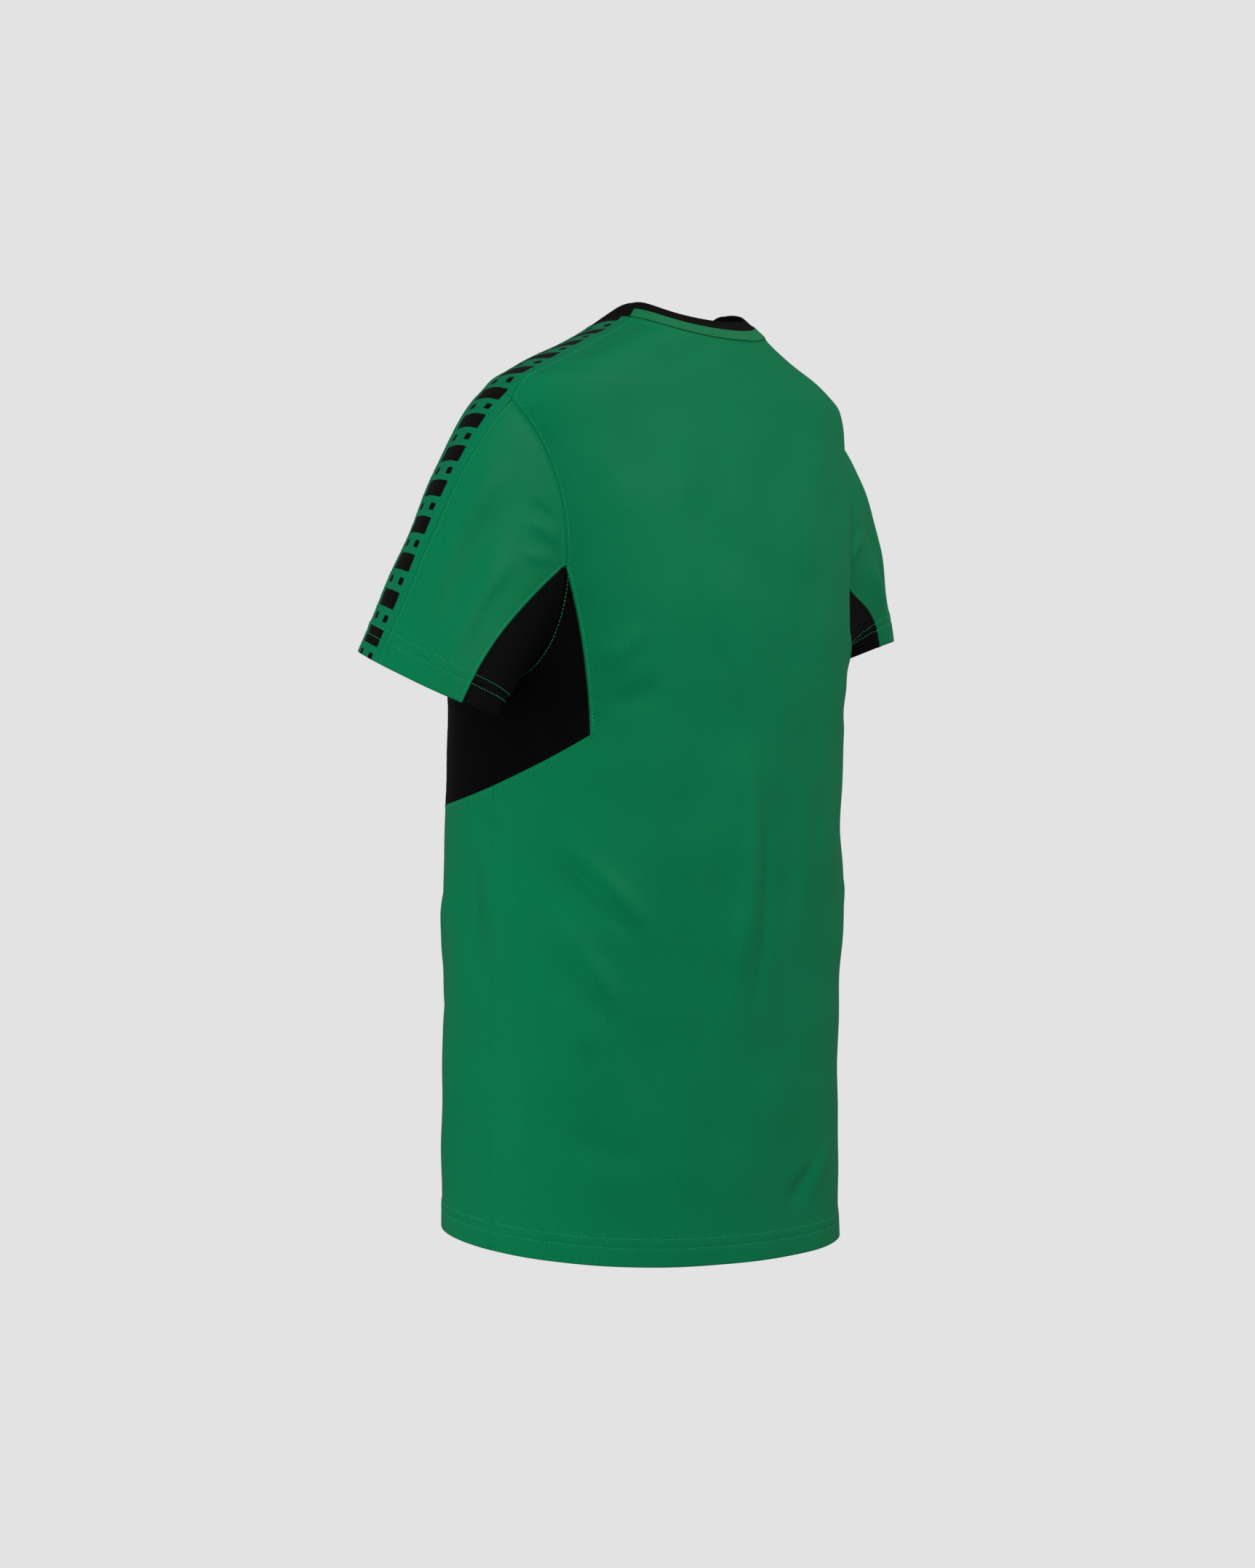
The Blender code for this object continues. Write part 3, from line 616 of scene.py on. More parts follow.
@dataclass(frozen=True)
class Seams:
    """Where the body is cut."""

    body: BodySurface
    hem_height: float = -0.7155
    hem_drop: float = 0.128
    side_seam: float = math.radians(-2.7)
    neck_side_height: float = -0.001
    neck_back_drop: float = 0.0138
    neck_front_drop: float = 0.079
    neck_half_width: float = 0.0813
    arm_height: float = -0.170
    arm_half_height: float = 0.111
    arm_y: float = -0.0275
    arm_lean: float = -0.05
    arm_half_width: float = 0.054
    tape_front: float = math.radians(-10)
    tape_back: float = math.radians(30)
    gusset_back: float = math.radians(105)
    gusset_front: float = math.radians(255)
    tape_neck_back: float = math.radians(13)
    tape_neck_front: float = math.radians(-33)
    tape_bend: float = 6
    tape_bow: float = 0.0025
    panel_back_corner: Span = (math.radians(31.9), -0.325)
    panel_front_corner: Span = (math.radians(-42), -0.378)

    def hem(self, angle: Array) -> Array:
        """The hem at some angles, lower at the back than at the front."""
        level = np.full(len(angle), self.hem_height)
        y = self.body.point(paired(angle, level))[:, 1]
        return paired(angle, level - self.hem_drop * (y - self.body.section(level)[:, 1]))

    def neck(self, angle: Array) -> Array:
        """The neck seam: a shallow dip at the back and a round neckline in front.

        Args:
            angle: Angles round it.

        Returns:
            Its places.
        """

        def front(turn: Array) -> Array:
            """The neckline's height from its side, 0, to its middle, a quarter turn."""
            return self.neck_side_height - self.neck_front_drop * np.sin(turn)

        def narrow(turn: Array) -> Array:
            """Whether the body is narrower than the neckline there."""
            wide = self.body.section(front(turn))[:, 0] * np.abs(self.body.across(angle))
            return wide < self.neck_half_width * np.cos(turn)

        back = self.neck_side_height - self.neck_back_drop * np.sin(angle) ** 2
        turn, _ = by_halves(0.0, QUARTER, narrow, len(angle))
        return paired(angle, np.where(np.sin(angle) >= 0, back, front(turn)))

    def armhole(self, turn: Array) -> Array:
        """The armhole seam at some turns, an oval in the side view that leans back towards its foot."""
        height = self.arm_height + self.arm_half_height * np.cos(turn)
        y = self.arm_y + self.arm_lean * (height - self.arm_height) + self.arm_half_width * np.sin(turn)
        return paired(self.body.angle_at(y, height), height)

    def lower_edge(self, angle: Array) -> Array:
        """The slanting lower edge of the side panel, level at its front corner."""
        (back, back_height), (front, front_height) = self.panel_back_corner, self.panel_front_corner
        share = (angle - front) / (back - front)
        return paired(angle, front_height + (back_height - front_height) * share**2)

    def panel_edge(self, corner: Span, arm_turn: float) -> Curve:
        """The upright edge of the side panel from its lower corner to the armhole.

        Args:
            corner: The lower corner's place.
            arm_turn: Where the edge meets the armhole.

        Returns:
            A curve over shares from 0 to 1.
        """
        top, foot = self.armhole(np.array([arm_turn]))[0], np.array(corner)

        def edge(share: Array) -> Array:
            """The edge's places at some shares."""
            return foot + (top - foot) * paired(share**2, share)

        return edge

    def tape_line(self, neck_angle: float, arm_turn: float, bow: float) -> Curve:
        """A line along the shoulder from the neck seam to the armhole.

        Args:
            neck_angle: Where it starts on the neck seam.
            arm_turn: Where it ends on the armhole.
            bow: How far its middle stands back from the straight line.

        Returns:
            A curve over shares from 0 to 1.
        """
        neck, arm = self.neck(np.array([neck_angle])), self.armhole(np.array([arm_turn]))
        start, end = self.body.point(neck)[0], self.body.point(arm)[0]

        def line(share: Array) -> Array:
            """The line's places at some shares."""
            x = start[0] + (end[0] - start[0]) * share
            y = start[1] + (end[1] - start[1]) * share**self.tape_bend + bow * np.sin(math.pi * share)
            inner = np.where(share[:, None] <= 0, neck, self.body.place_at(x, y))
            return np.where(share[:, None] >= 1, arm, inner)

        return line


@dataclass(frozen=True)
class SleeveSurface(Surface):
    """The outer surface of a sleeve, from the armhole seam to the cuff."""

    sizes: SleeveSizes
    seams: Seams
    nudge = (0.02, 0.01)
    forward = 0.05

    @property
    def hand(self) -> float:
        """Turns the normals outwards on either side."""
        return -float(self.sizes.side)

    @property
    def flip(self) -> Array:
        """Puts a point of the left side on this sleeve's side."""
        return np.array([self.sizes.side, 1, 1])

    def kept(self, places: Array) -> Array:
        """Places kept between the armhole and the cuff."""
        return paired(places[:, 0], np.clip(places[:, 1], 0, 1))

    def rim(self, turn: Array) -> Array:
        """The cuff's rim, for a sleeve on the left."""
        sizes = self.sizes
        upright = unit(np.array([-sizes.rise_out, sizes.rise_front, 1.0]))
        outward = unit(np.array([1.0, 0, 0]) - upright * upright[0])
        backward = np.cross(upright, outward)
        angle = (turn + math.radians(sizes.turn))[:, None]
        return np.array(sizes.cuff) + sizes.radius * (np.cos(angle) * outward + np.sin(angle) * backward)

    def point(self, places: Array) -> Array:
        """The points of the sleeve: a smooth run from the armhole to the cuff.

        Args:
            places: Their turns and shares.

        Returns:
            The points, one row each.
        """
        sizes = self.sizes
        turn = places[:, 0]
        start, end = self.seams.body.point(self.seams.armhole(turn)), self.rim(turn)
        reach = np.linalg.norm(end - start, axis=1, keepdims=True)
        top = (1 + np.cos(turn[:, None])) / 2
        over, under = (unit(np.array([1, -self.forward, -slope]))
                       for slope in (sizes.slope_top, sizes.slope_under))
        leave = unit(over * top + under * (1 - top)) * sizes.slack_arm * reach
        arrive = unit(np.array([sizes.out, -sizes.front, -1.0])) * sizes.slack_cuff * reach
        return smooth_run(places[:, 1:], start, leave, end, arrive) * self.flip


BODY = BodySurface()
SEAMS = Seams(BODY)
SLEEVE_SURFACES = {name: SleeveSurface(sizes, SEAMS) for name, sizes in SLEEVES.items()}


# ---- How cloth lies


@dataclass(frozen=True)
class Relief:
    """The creases of a surface, and the slight waviness of cloth that hangs free."""

    surface: Surface
    creases: tuple[Crease, ...]
    boldness: float = 2.2
    taper: float = 0.38
    widths: float = 3.2
    wave_height: float = 0.26 * MM
    waves: int = 9
    wave_lengths: Span = (45 * MM, 130 * MM)
    seed: int = 7

    @cached_property
    def lines(self) -> list[Array]:
        """The creases' paths in space."""
        scale = (math.radians(1), 1)
        return [self.surface.point(rounded_path(np.array(crease.path) * scale)) for crease in self.creases]

    @cached_property
    def ripples(self) -> tuple[Array, Array]:
        """The slight waves' ways, as long as their turns for each metre, and their starts."""
        rng = np.random.default_rng(self.seed)
        ways = unit(rng.normal(size=(self.waves, 3)))
        lengths = rng.uniform(*self.wave_lengths, self.waves)
        return ways * (TURN / lengths)[:, None], rng.uniform(0, TURN, self.waves)

    def lift(self, points: Array, normals: Array) -> Array:
        """How far the cloth stands off the plain surface.

        Args:
            points: Points of the plain surface.
            normals: Its outward normals there.

        Returns:
            The lift of each point in metres.
        """
        ways, starts = self.ripples
        lift = self.wave_height * np.sin(points @ ways.T + starts).sum(axis=1)
        for crease, line in zip(self.creases, self.lines):
            near = near_line(points, line, self.widths * crease.width * MM)
            side = np.sign((np.cross(near.tangent, near.away) * normals).sum(axis=1))
            share = near.along / run_lengths(line)[-1]
            ends = smoothstep(np.minimum(share, 1 - share) / self.taper)
            width = crease.width * MM * (1 + crease.skew * side)
            lift += self.boldness * crease.height * MM * ends * np.exp(-((near.gap / width) ** 2))
        return lift


@dataclass(frozen=True)
class TapeRelief:
    """The body's creases as far as the armhole, and the sleeve's beyond it."""

    body: Relief
    sleeve: Relief
    armhole: float

    def lift(self, points: Array, normals: Array) -> Array:
        """How far the cloth stands off the plain surface."""
        on_body = np.abs(points[:, 0]) < self.armhole
        return np.where(on_body, self.body.lift(points, normals), self.sleeve.lift(points, normals))


@dataclass(frozen=True)
class SeamLie:
    """How cloth lies beside a sewn seam: its edge rolls in, it rises over the allowance,
    dips where the stitches hold it and puckers a little along them."""

    roll: float = 0.28 * MM
    roll_reach: float = 0.42 * MM
    rise: float = 0.30 * MM
    rise_at: float = 1.5 * MM
    rise_reach: float = 1.0 * MM
    stitch_at: float = 2.4 * MM
    dip: float = 0.16 * MM
    dip_reach: float = 0.6 * MM
    pucker: float = 0.30 * MM
    pucker_length: float = 8.3 * MM
    pucker_reach: float = 7.5 * MM
    pucker_beat: float = 1.63
    pucker_start: float = 1.1
    sink: float = 0.0
    sink_reach: float = 9 * MM
    sink_edge: float = 2 * MM

    def lift(self, near: Near) -> Array:
        """How far the cloth stands off the plain surface beside the seam."""
        gap, turn = near.gap, TURN * near.along / self.pucker_length
        wave = 0.6 * np.sin(turn) + 0.4 * np.sin(turn / self.pucker_beat + self.pucker_start)
        held = np.exp(-gap / self.pucker_reach) * (1 - bump(gap, 0, self.stitch_at))
        sunk = self.sink * bump(gap, 0, self.sink_reach) * (1 - bump(gap, 0, self.sink_edge))
        rolled = self.roll * bump(gap, 0, self.roll_reach)
        dipped = self.dip * bump(gap, self.stitch_at, self.dip_reach)
        risen = self.rise * bump(gap, self.rise_at, self.rise_reach)
        return risen + self.pucker * wave * held - sunk - rolled - dipped


SEAM = SeamLie()
SIDE_SEAM = SeamLie(roll=0.12 * MM, rise=0.14 * MM, dip=0.0, pucker=0.20 * MM, pucker_length=13 * MM)
PANEL_SEAM = SeamLie(rise=0.50 * MM, rise_at=1.3 * MM, rise_reach=0.9 * MM)
SLEEVE_HEAD = SeamLie(rise=0.15 * MM, sink=1.1 * MM)


@dataclass(frozen=True)
class Turning:
    """A turned hem or cuff, held by two rows of stitches set out from its edge."""

    rows: Span
    wall: float = 1.7 * MM
    swell: float = 0.35 * MM
    fold_reach: float = 1.1 * MM
    end: float = 2.5 * MM
    dip: float = 0.28 * MM
    dip_reach: float = 0.8 * MM
    rope: float = 0.22 * MM
    rope_length: float = 14 * MM
    rope_beat: float = 3.7
    slant: float = 0.5
    walls_end: float = 1.5 * MM
    fold_rows: tuple[float, ...] = (0.12 * MM, 0.35 * MM, 0.7 * MM, 2.2 * MM)
    row_shifts: tuple[float, ...] = (-1.5 * MM, -0.7 * MM, 0, 0.7 * MM, 1.5 * MM)

    def roundness(self, gap: Array) -> Array:
        """The thickness of the rounded fold, as a share of the whole."""
        return np.sqrt(1 - np.clip(1 - gap / self.fold_reach, 0, 0.995) ** 2)

    def lift(self, near: Near) -> Array:
        """How far the turned edge stands off the plain surface."""
        inside = smoothstep((self.rows[1] + self.end - near.gap) / self.end)
        dips = sum(bump(near.gap, row, self.dip_reach) for row in self.rows)
        turn = math.pi * (near.along + self.slant * near.gap) / self.rope_length
        wave = np.sin(2 * turn) + 0.6 * np.sin(self.rope_beat * turn)
        drop = self.wall / 2 * (1 - self.roundness(near.gap))
        swell = self.swell + self.rope * wave * smoothstep(near.gap / self.rows[0])
        return inside * swell - self.dip * dips - drop

    def walls(self, gap: Array, plain: float) -> Array:
        """The thickness of the cloth at some distances from the edge."""
        inside = smoothstep((self.rows[1] + self.walls_end - gap) / MM)
        return (plain + (self.wall - plain) * inside) * self.roundness(gap)

    @property
    def steps(self) -> list[float]:
        """Distances from the edge at which the mesh has a row."""
        first, last = self.rows
        near_rows = [row + shift for row in self.rows for shift in self.row_shifts]
        between = [first * 0.3, first * 0.55, (first + last) / 2, last + 3.5 * MM]
        return sorted([*self.fold_rows, self.fold_reach, *between, *near_rows])


HEM = Turning((14 * MM, 21 * MM))
CUFF = Turning((17 * MM, 25 * MM))


@dataclass
class Lay:
    """What shapes a piece's cloth: its creases, its outline and the lines that hold it flat."""

    relief: Relief | TapeRelief
    outline: list[tuple[Edge, Array]]
    held: list[Array]
    turning: Turning
    head: SeamLie = SEAM
    wall: float = 0.9 * MM
    slack_reach: float = 12 * MM

    def shaped(self, points: Array, normals: Array, lift: Array | None = None) -> tuple[Array, Array]:
        """Where the cloth lies.

        Args:
            points: Points of the plain surface.
            normals: Its outward normals there.
            lift: The creases' lift, worked out from the relief where it isn't given.

        Returns:
            The lift of each point and the cloth's thickness there.
        """
        if lift is None:
            lift = self.relief.lift(points, normals)
        for line in self.held:
            lift = lift * (1 - bump(near_line(points, line).gap, 0, self.slack_reach))
        walls = np.full(len(points), self.wall)
        lies = {Edge.SIDE: SIDE_SEAM, Edge.PANEL: PANEL_SEAM, Edge.ARMHOLE: self.head}
        for edge, line in self.outline:
            near = near_line(points, line)
            if edge is Edge.HEM:
                lift = lift + self.turning.lift(near)
                walls = self.turning.walls(near.gap, self.wall)
            else:
                lift = lift + lies.get(edge, SEAM).lift(near)
        return lift, walls

    def seated(self, points: Array, normals: Array) -> Array:
        """Points moved onto the shaped cloth."""
        return points + normals * self.shaped(points, normals)[0][:, None]


# ---- Finishes


@dataclass(frozen=True)
class Patches:
    """Uneven patches: their size across and along the cloth and how strongly they shade it."""

    across: float
    along: float
    shade: float = 0.0
    detail: float = 2.0


class Shader:
    """A material's node tree, with short ways to add nodes and join them."""

    noise_span = (0.3, 0.7)

    def __init__(self, name: str) -> None:
        """Makes the material with a plain shader."""
        self.material = bpy.data.materials.new(name)
        self.material.use_nodes = True
        self.tree = self.material.node_tree
        self.cloth = self.tree.nodes["Principled BSDF"]

    def node(self, kind: str, **values: object) -> bpy.types.Node:
        """Adds a node.

        Args:
            kind: The node's type.
            **values: Sockets, by name with _ for a space, or settings of the node.

        Returns:
            The node.
        """
        made = self.tree.nodes.new(kind)
        for key, value in values.items():
            socket = made.inputs.get(key.replace("_", " "))
            if socket is None:
                setattr(made, key, value)
            else:
                self.feed(socket, value)
        return made

    def feed(self, socket: Socket, value: object) -> None:
        """Links a socket to a value's socket, or sets it to the value."""
        if isinstance(value, Socket):
            self.tree.links.new(value, socket)
        else:
            socket.default_value = value

    def dress(self, **values: object) -> None:
        """Sets the plain shader's sockets, by name with _ for a space."""
        for key, value in values.items():
            self.feed(self.cloth.inputs[key.replace("_", " ")], value)

    def math(self, operation: str, *values: Socket | float) -> Socket:
        """Adds a maths node and gives its result."""
        made = self.tree.nodes.new("ShaderNodeMath")
        made.operation = operation
        for socket, value in zip(made.inputs, values):
            self.feed(socket, value)
        return made.outputs[0]

    def weighted(self, *terms: tuple[Socket, float], start: Socket | float = 0.0) -> Socket:
        """The sum of some values, each times its weight, and of a start."""
        for value, weight in terms:
            start = self.math("MULTIPLY_ADD", value, weight, start)
        return start

    @cached_property
    def chart(self) -> tuple[Socket, Socket]:
        """The runs across and along the cloth in metres."""
        mapped = self.node("ShaderNodeUVMap", uv_map="cloth")
        return tuple(self.node("ShaderNodeSeparateXYZ", Vector=mapped.outputs[0]).outputs)[:2]

    def wave(self, run: Socket, pitch: float, lead: Socket | float = 0.0) -> Socket:
        """A wave between 0 and 1 along a run, with a lead in turns."""
        turns = self.math("ADD", self.math("DIVIDE", run, pitch), lead)
        return self.math("MULTIPLY_ADD", self.math("SINE", self.math("MULTIPLY", turns, TURN)), 0.5, 0.5)

    def mottle(self, patches: Patches) -> Socket:
        """Uneven patches over the cloth, with values about a half."""
        sizes = (patches.across, patches.along)
        x, y = (self.math("DIVIDE", run, size) for run, size in zip(self.chart, sizes))
        place = self.node("ShaderNodeCombineXYZ", X=x, Y=y).outputs[0]
        return self.node("ShaderNodeTexNoise", Vector=place, Scale=1.0, Detail=patches.detail).outputs[0]

    def specks(self, scale: float, detail: float = 2.0) -> Socket:
        """Even specks all through the object, some for each metre."""
        place = self.node("ShaderNodeTexCoord").outputs["Object"]
        return self.node("ShaderNodeTexNoise", Vector=place, Scale=scale, Detail=detail).outputs[0]

    def range(self, value: Socket, found: Span, wanted: Span = (0.0, 1.0)) -> Socket:
        """Maps a value from the range where it is found to a wanted one, and holds it there."""
        return self.node("ShaderNodeMapRange", Value=value, From_Min=found[0], From_Max=found[1],
                         To_Min=wanted[0], To_Max=wanted[1]).outputs[0]

    def blend(self, share: Socket, first: Socket | Colour, second: Socket | Colour) -> Socket:
        """Mixes two colours."""
        made = self.node("ShaderNodeMix", data_type="RGBA")
        self.feed(made.inputs[0], share)
        for socket, value in zip((made.inputs[6], made.inputs[7]), (first, second)):
            self.feed(socket, (*value, 1) if isinstance(value, tuple) else value)
        return made.outputs[2]

    def relief(self, height: Socket, depth: float) -> None:
        """Gives the cloth a bump of a depth in metres."""
        made = self.node("ShaderNodeBump", Height=height, Distance=depth, Strength=1.0)
        self.tree.links.new(made.outputs[0], self.cloth.inputs["Normal"])


@dataclass(frozen=True)
class Knit:
    """A close knit: fine loops in wales and courses, a grain, faint broad patches and painted shade between
    the loops.
    """

    name: str
    light: Colour
    dark: Colour
    roughness: float
    gloss: float
    wale: float = 0.95 * MM
    course: float = 0.75 * MM
    lean: float = 0.22
    depth: float = 0.10 * MM
    grain: Patches = Patches(0.9 * MM, 0.6 * MM, shade=0.9)
    fine: Patches = Patches(3.1 * MM, 2.3 * MM, shade=0.5)
    broad: Patches = Patches(60 * MM, 90 * MM, shade=0.35, detail=1.0)
    # how much darker the hollows between the loops are painted: painted shade
    loop_painted_shade: float = 0.35
    loop_middle: float = 0.4
    loop_share: float = 0.55
    roughness_spread: float = 0.06

    def loops(self, shader: Shader) -> Socket:
        """The height of the loops: slanting legs that repeat up each wale."""
        across, along = shader.chart
        lead = shader.math("SUBTRACT", shader.wave(along, self.course), 0.5)
        legs = shader.wave(across, self.wale, shader.math("MULTIPLY", lead, self.lean))
        rows = shader.wave(along, self.course, 0.25)
        return shader.math("MULTIPLY", legs, shader.math("MULTIPLY_ADD", rows, 0.5, 0.5))

    def material(self) -> Material:
        """Builds the knit's material."""
        shader = Shader(self.name)
        loops, grain = self.loops(shader), shader.mottle(self.grain)
        noises = (grain, shader.mottle(self.fine), shader.mottle(self.broad))
        terms = [(shader.math("SUBTRACT", noise, 0.5), patches.shade)
                 for noise, patches in zip(noises, (self.grain, self.fine, self.broad))]
        # painted shade: the colour is darker where the loops are low, in the hollows between them
        terms.append((shader.math("SUBTRACT", loops, self.loop_middle), self.loop_painted_shade))
        shade = shader.range(shader.weighted(*terms, start=0.5), (0.0, 1.0))
        roughnesses = (self.roughness - self.roughness_spread, self.roughness + self.roughness_spread)
        shader.dress(Base_Color=shader.blend(shade, self.dark, self.light),
                     Roughness=shader.range(grain, shader.noise_span, roughnesses),
                     Specular_IOR_Level=self.gloss)
        shader.relief(shader.weighted((loops, self.loop_share), (grain, 1 - self.loop_share)), self.depth)
        return shader.material


@dataclass(frozen=True)
class Mark:
    """A printed block of the tape: how far it stands to either side of the middle, its shift
    along the tape in periods, its width and its length."""

    aside: float
    shift: float
    width: float
    length: float


@dataclass(frozen=True)
class PrintedTape:
    """A smooth close-knit tape with a wide printed block down its middle and a pair of small
    squares in each gap."""

    name: str
    ground: Colour
    ground_dark: Colour
    ink: Colour
    ink_worn: Colour
    middle: float = 20 * MM
    marks: tuple[Mark, Mark] = (Mark(0.0, 0.0, 26 * MM, 14 * MM), Mark(8.5 * MM, 0.5, 6 * MM, 6 * MM))
    corner: float = 1.2 * MM
    period: float = 31 * MM
    blur: float = 0.12 * MM
    wale: float = 0.7 * MM
    course: float = 0.6 * MM
    lean: float = 0.3
    grain: Patches = Patches(0.8 * MM, 1.1 * MM)
    roughness: Span = (0.52, 0.62)
    gloss: float = 0.08
    depth: float = 0.07 * MM

    def outside(self, shader: Shader, mark: Mark) -> Socket:
        """How far the cloth lies outside the nearest block of one kind.

        Args:
            shader: The tape's shader.
            mark: The kind of block.

        Returns:
            The gap to the block's rounded outline, less than 0 on the block.
        """
        across, along = shader.chart
        aside = shader.math("ABSOLUTE", shader.math("SUBTRACT", across, self.middle))
        off = shader.math("ABSOLUTE", shader.math("SUBTRACT", aside, mark.aside))
        step = shader.math("PINGPONG", shader.math("ADD", along, mark.shift * self.period), self.period / 2)
        past = [shader.math("SUBTRACT", value, size / 2 - self.corner)
                for value, size in ((off, mark.width), (step, mark.length))]
        squares = [shader.math("POWER", shader.math("MAXIMUM", value, 0.0), 2.0) for value in past]
        return shader.math("SUBTRACT", shader.math("SQRT", shader.math("ADD", *squares)), self.corner)

    def material(self) -> Material:
        """Builds the tape's material."""
        shader = Shader(self.name)
        across, along = shader.chart
        lead = shader.math("MULTIPLY", shader.wave(along, self.course), self.lean)
        ribs = shader.wave(across, self.wale, lead)
        grain = shader.mottle(self.grain)
        ground = shader.blend(shader.range(grain, shader.noise_span), self.ground_dark, self.ground)
        nearest = shader.math("MINIMUM", *(self.outside(shader, mark) for mark in self.marks))
        printed = shader.range(nearest, (-self.blur, self.blur), (1.0, 0.0))
        shader.dress(Base_Color=shader.blend(printed, ground, shader.blend(grain, self.ink, self.ink_worn)),
                     Roughness=shader.range(grain, shader.noise_span, self.roughness),
                     Specular_IOR_Level=self.gloss)
        shader.relief(shader.weighted((ribs, 0.45), (printed, 0.25), (grain, 0.3)), self.depth)
        return shader.material


@dataclass(frozen=True)
class Rib:
    """A one-and-one rib knit: narrow upright ribs with fine loops on them, a painted highlight on the ribs
    and painted shade between them.
    """

    name: str
    colour: Colour
    # the lighter colour: a random grain, and a painted highlight on the ribs' tops
    grain_and_rib_highlight: Colour
    pitch: float = 1.25 * MM
    course: float = 0.8 * MM
    fullness: float = 0.6
    grain: Patches = Patches(0.9 * MM, 1.4 * MM, detail=3.0)
    shades: Span = (0.2, 0.9)
    roughness: Span = (0.80, 0.92)
    gloss: float = 0.07
    depth: float = 0.22 * MM

    def material(self) -> Material:
        """Builds the rib's material."""
        shader = Shader(self.name)
        across, along = shader.chart
        ribs = shader.math("POWER", shader.wave(across, self.pitch), self.fullness)
        grain = shader.mottle(self.grain)
        # painted shade and highlight: the grooves between the ribs darker and their tops lighter, on top of a
        # random grain
        shade = shader.range(shader.weighted((grain, 0.5), (ribs, 0.5)), self.shades)
        shader.dress(Base_Color=shader.blend(shade, self.colour, self.grain_and_rib_highlight),
                     Roughness=shader.range(grain, shader.noise_span, self.roughness),
                     Specular_IOR_Level=self.gloss)
        loops = shader.wave(along, self.course)
        shader.relief(shader.weighted((ribs, 0.7), (loops, 0.2), (grain, 0.2)), self.depth)
        return shader.material


@dataclass(frozen=True)
class Thread:
    """Twisted sewing thread, with its specks for each metre."""

    name: str
    light: Colour
    dark: Colour
    twist: float = 2600.0
    patches: float = 160.0
    roughness: Span = (0.55, 0.70)
    gloss: float = 0.2
    depth: float = 0.06 * MM

    def material(self) -> Material:
        """Builds the thread's material."""
        shader = Shader(self.name)
        twist = shader.specks(self.twist)
        shade = shader.weighted((shader.specks(self.patches, 1.0), 0.4), (twist, 0.6))
        shader.dress(Base_Color=shader.blend(shader.range(shade, shader.noise_span), self.dark, self.light),
                     Roughness=shader.range(twist, shader.noise_span, self.roughness),
                     Specular_IOR_Level=self.gloss)
        shader.relief(twist, self.depth)
        return shader.material


@dataclass(frozen=True)
class Palette:
    """Every finish of the jersey."""

    green: Knit = Knit("green_knit", (0.003, 0.23, 0.088), (0.0014, 0.156, 0.056), 0.54, 0.07)
    black: Knit = Knit("black_knit", (0.0032, 0.0033, 0.0035), (0.0008, 0.0008, 0.0009), 0.66, 0.06,
                       wale=1.3 * MM, course=1.1 * MM, lean=0.5, depth=0.16 * MM)
    tape: PrintedTape = PrintedTape("shoulder_tape", (0.002, 0.215, 0.09), (0.0014, 0.17, 0.07),
                                    (0.0022, 0.0021, 0.002), (0.0044, 0.0042, 0.004))
    neck_tape: Knit = Knit("neck_tape", (0.007, 0.215, 0.079), (0.0045, 0.17, 0.06), 0.6, 0.16,
                           wale=0.6 * MM, course=1.4 * MM, lean=0.0)
    rib: Rib = Rib("black_rib", (0.0026, 0.0024, 0.002), (0.0062, 0.0056, 0.0048))
    thread: Thread = Thread("green_thread", (0.03, 0.42, 0.2), (0.012, 0.29, 0.125))
    dark_thread: Thread = Thread("dark_green_thread", (0.003, 0.09, 0.038), (0.0015, 0.05, 0.02))


class Finishes:
    """The materials, each made once."""

    def __init__(self, palette: Palette) -> None:
        """Builds a material for every finish of the palette."""
        finishes = {Slot.GREEN: palette.green, Slot.BLACK: palette.black, Slot.TAPE: palette.tape,
                    Slot.NECK_TAPE: palette.neck_tape, Slot.RIB: palette.rib}
        self.by_slot = {slot: finish.material() for slot, finish in finishes.items()}
        self.thread, self.dark_thread = palette.thread.material(), palette.dark_thread.material()


# ---- Making meshes


def mesh_object(name: str, points: Array, faces: Sequence, material: Material,
                chart: Array | None = None, sharp: float = math.radians(55)) -> Object:
    """Makes a smooth mesh object.

    Args:
        name: The object's name.
        points: Its vertices.
        faces: Lists of vertex numbers.
        material: Its finish.
        chart: A pair for each vertex, kept as the UV map "cloth".
        sharp: Edges that turn by more than this stay sharp.

    Returns:
        The object, in the scene.
    """
    mesh = bpy.data.meshes.new(name)
    mesh.from_pydata(points.tolist(), [], faces)
    if chart is not None:
        corners = np.empty(len(mesh.loops), dtype=np.int32)
        mesh.loops.foreach_get("vertex_index", corners)
        layer = mesh.uv_layers.new(name="cloth")
        layer.uv.foreach_set("vector", chart[corners].astype(np.float32).ravel())
    mesh.materials.append(material)
    mesh.shade_smooth()
    mesh.set_sharp_from_angle(angle=sharp)
    item = bpy.data.objects.new(name, mesh)
    bpy.context.scene.collection.objects.link(item)
    return item


def closed_shell(outer: Array, inner: Array, faces: list[list[int]]) -> tuple[Array, list[list[int]]]:
    """Closes two like layers of cloth with a rim.

    Args:
        outer: The outer layer's points.
        inner: The inner layer's points, in the same order.
        faces: The outer layer's faces.

    Returns:
        All points and all faces.
    """
    count = len(outer)
    directed = {(face[i - 1], face[i]) for face in faces for i in range(len(face))}
    rim = [[b, a, a + count, b + count] for a, b in directed if (b, a) not in directed]
    rim.sort()
    inside = [[i + count for i in reversed(face)] for face in faces]
    return np.concatenate([outer, inner]), faces + inside + rim


def grid_faces(rows: int, columns: int, flip: bool) -> list[list[int]]:
    """The faces of a grid of points, row after row."""
    first = (np.arange(rows - 1)[:, None] * columns + np.arange(columns - 1)).ravel()
    faces = np.stack([first, first + 1, first + columns + 1, first + columns], axis=1)
    return (faces[:, ::-1] if flip else faces).tolist()


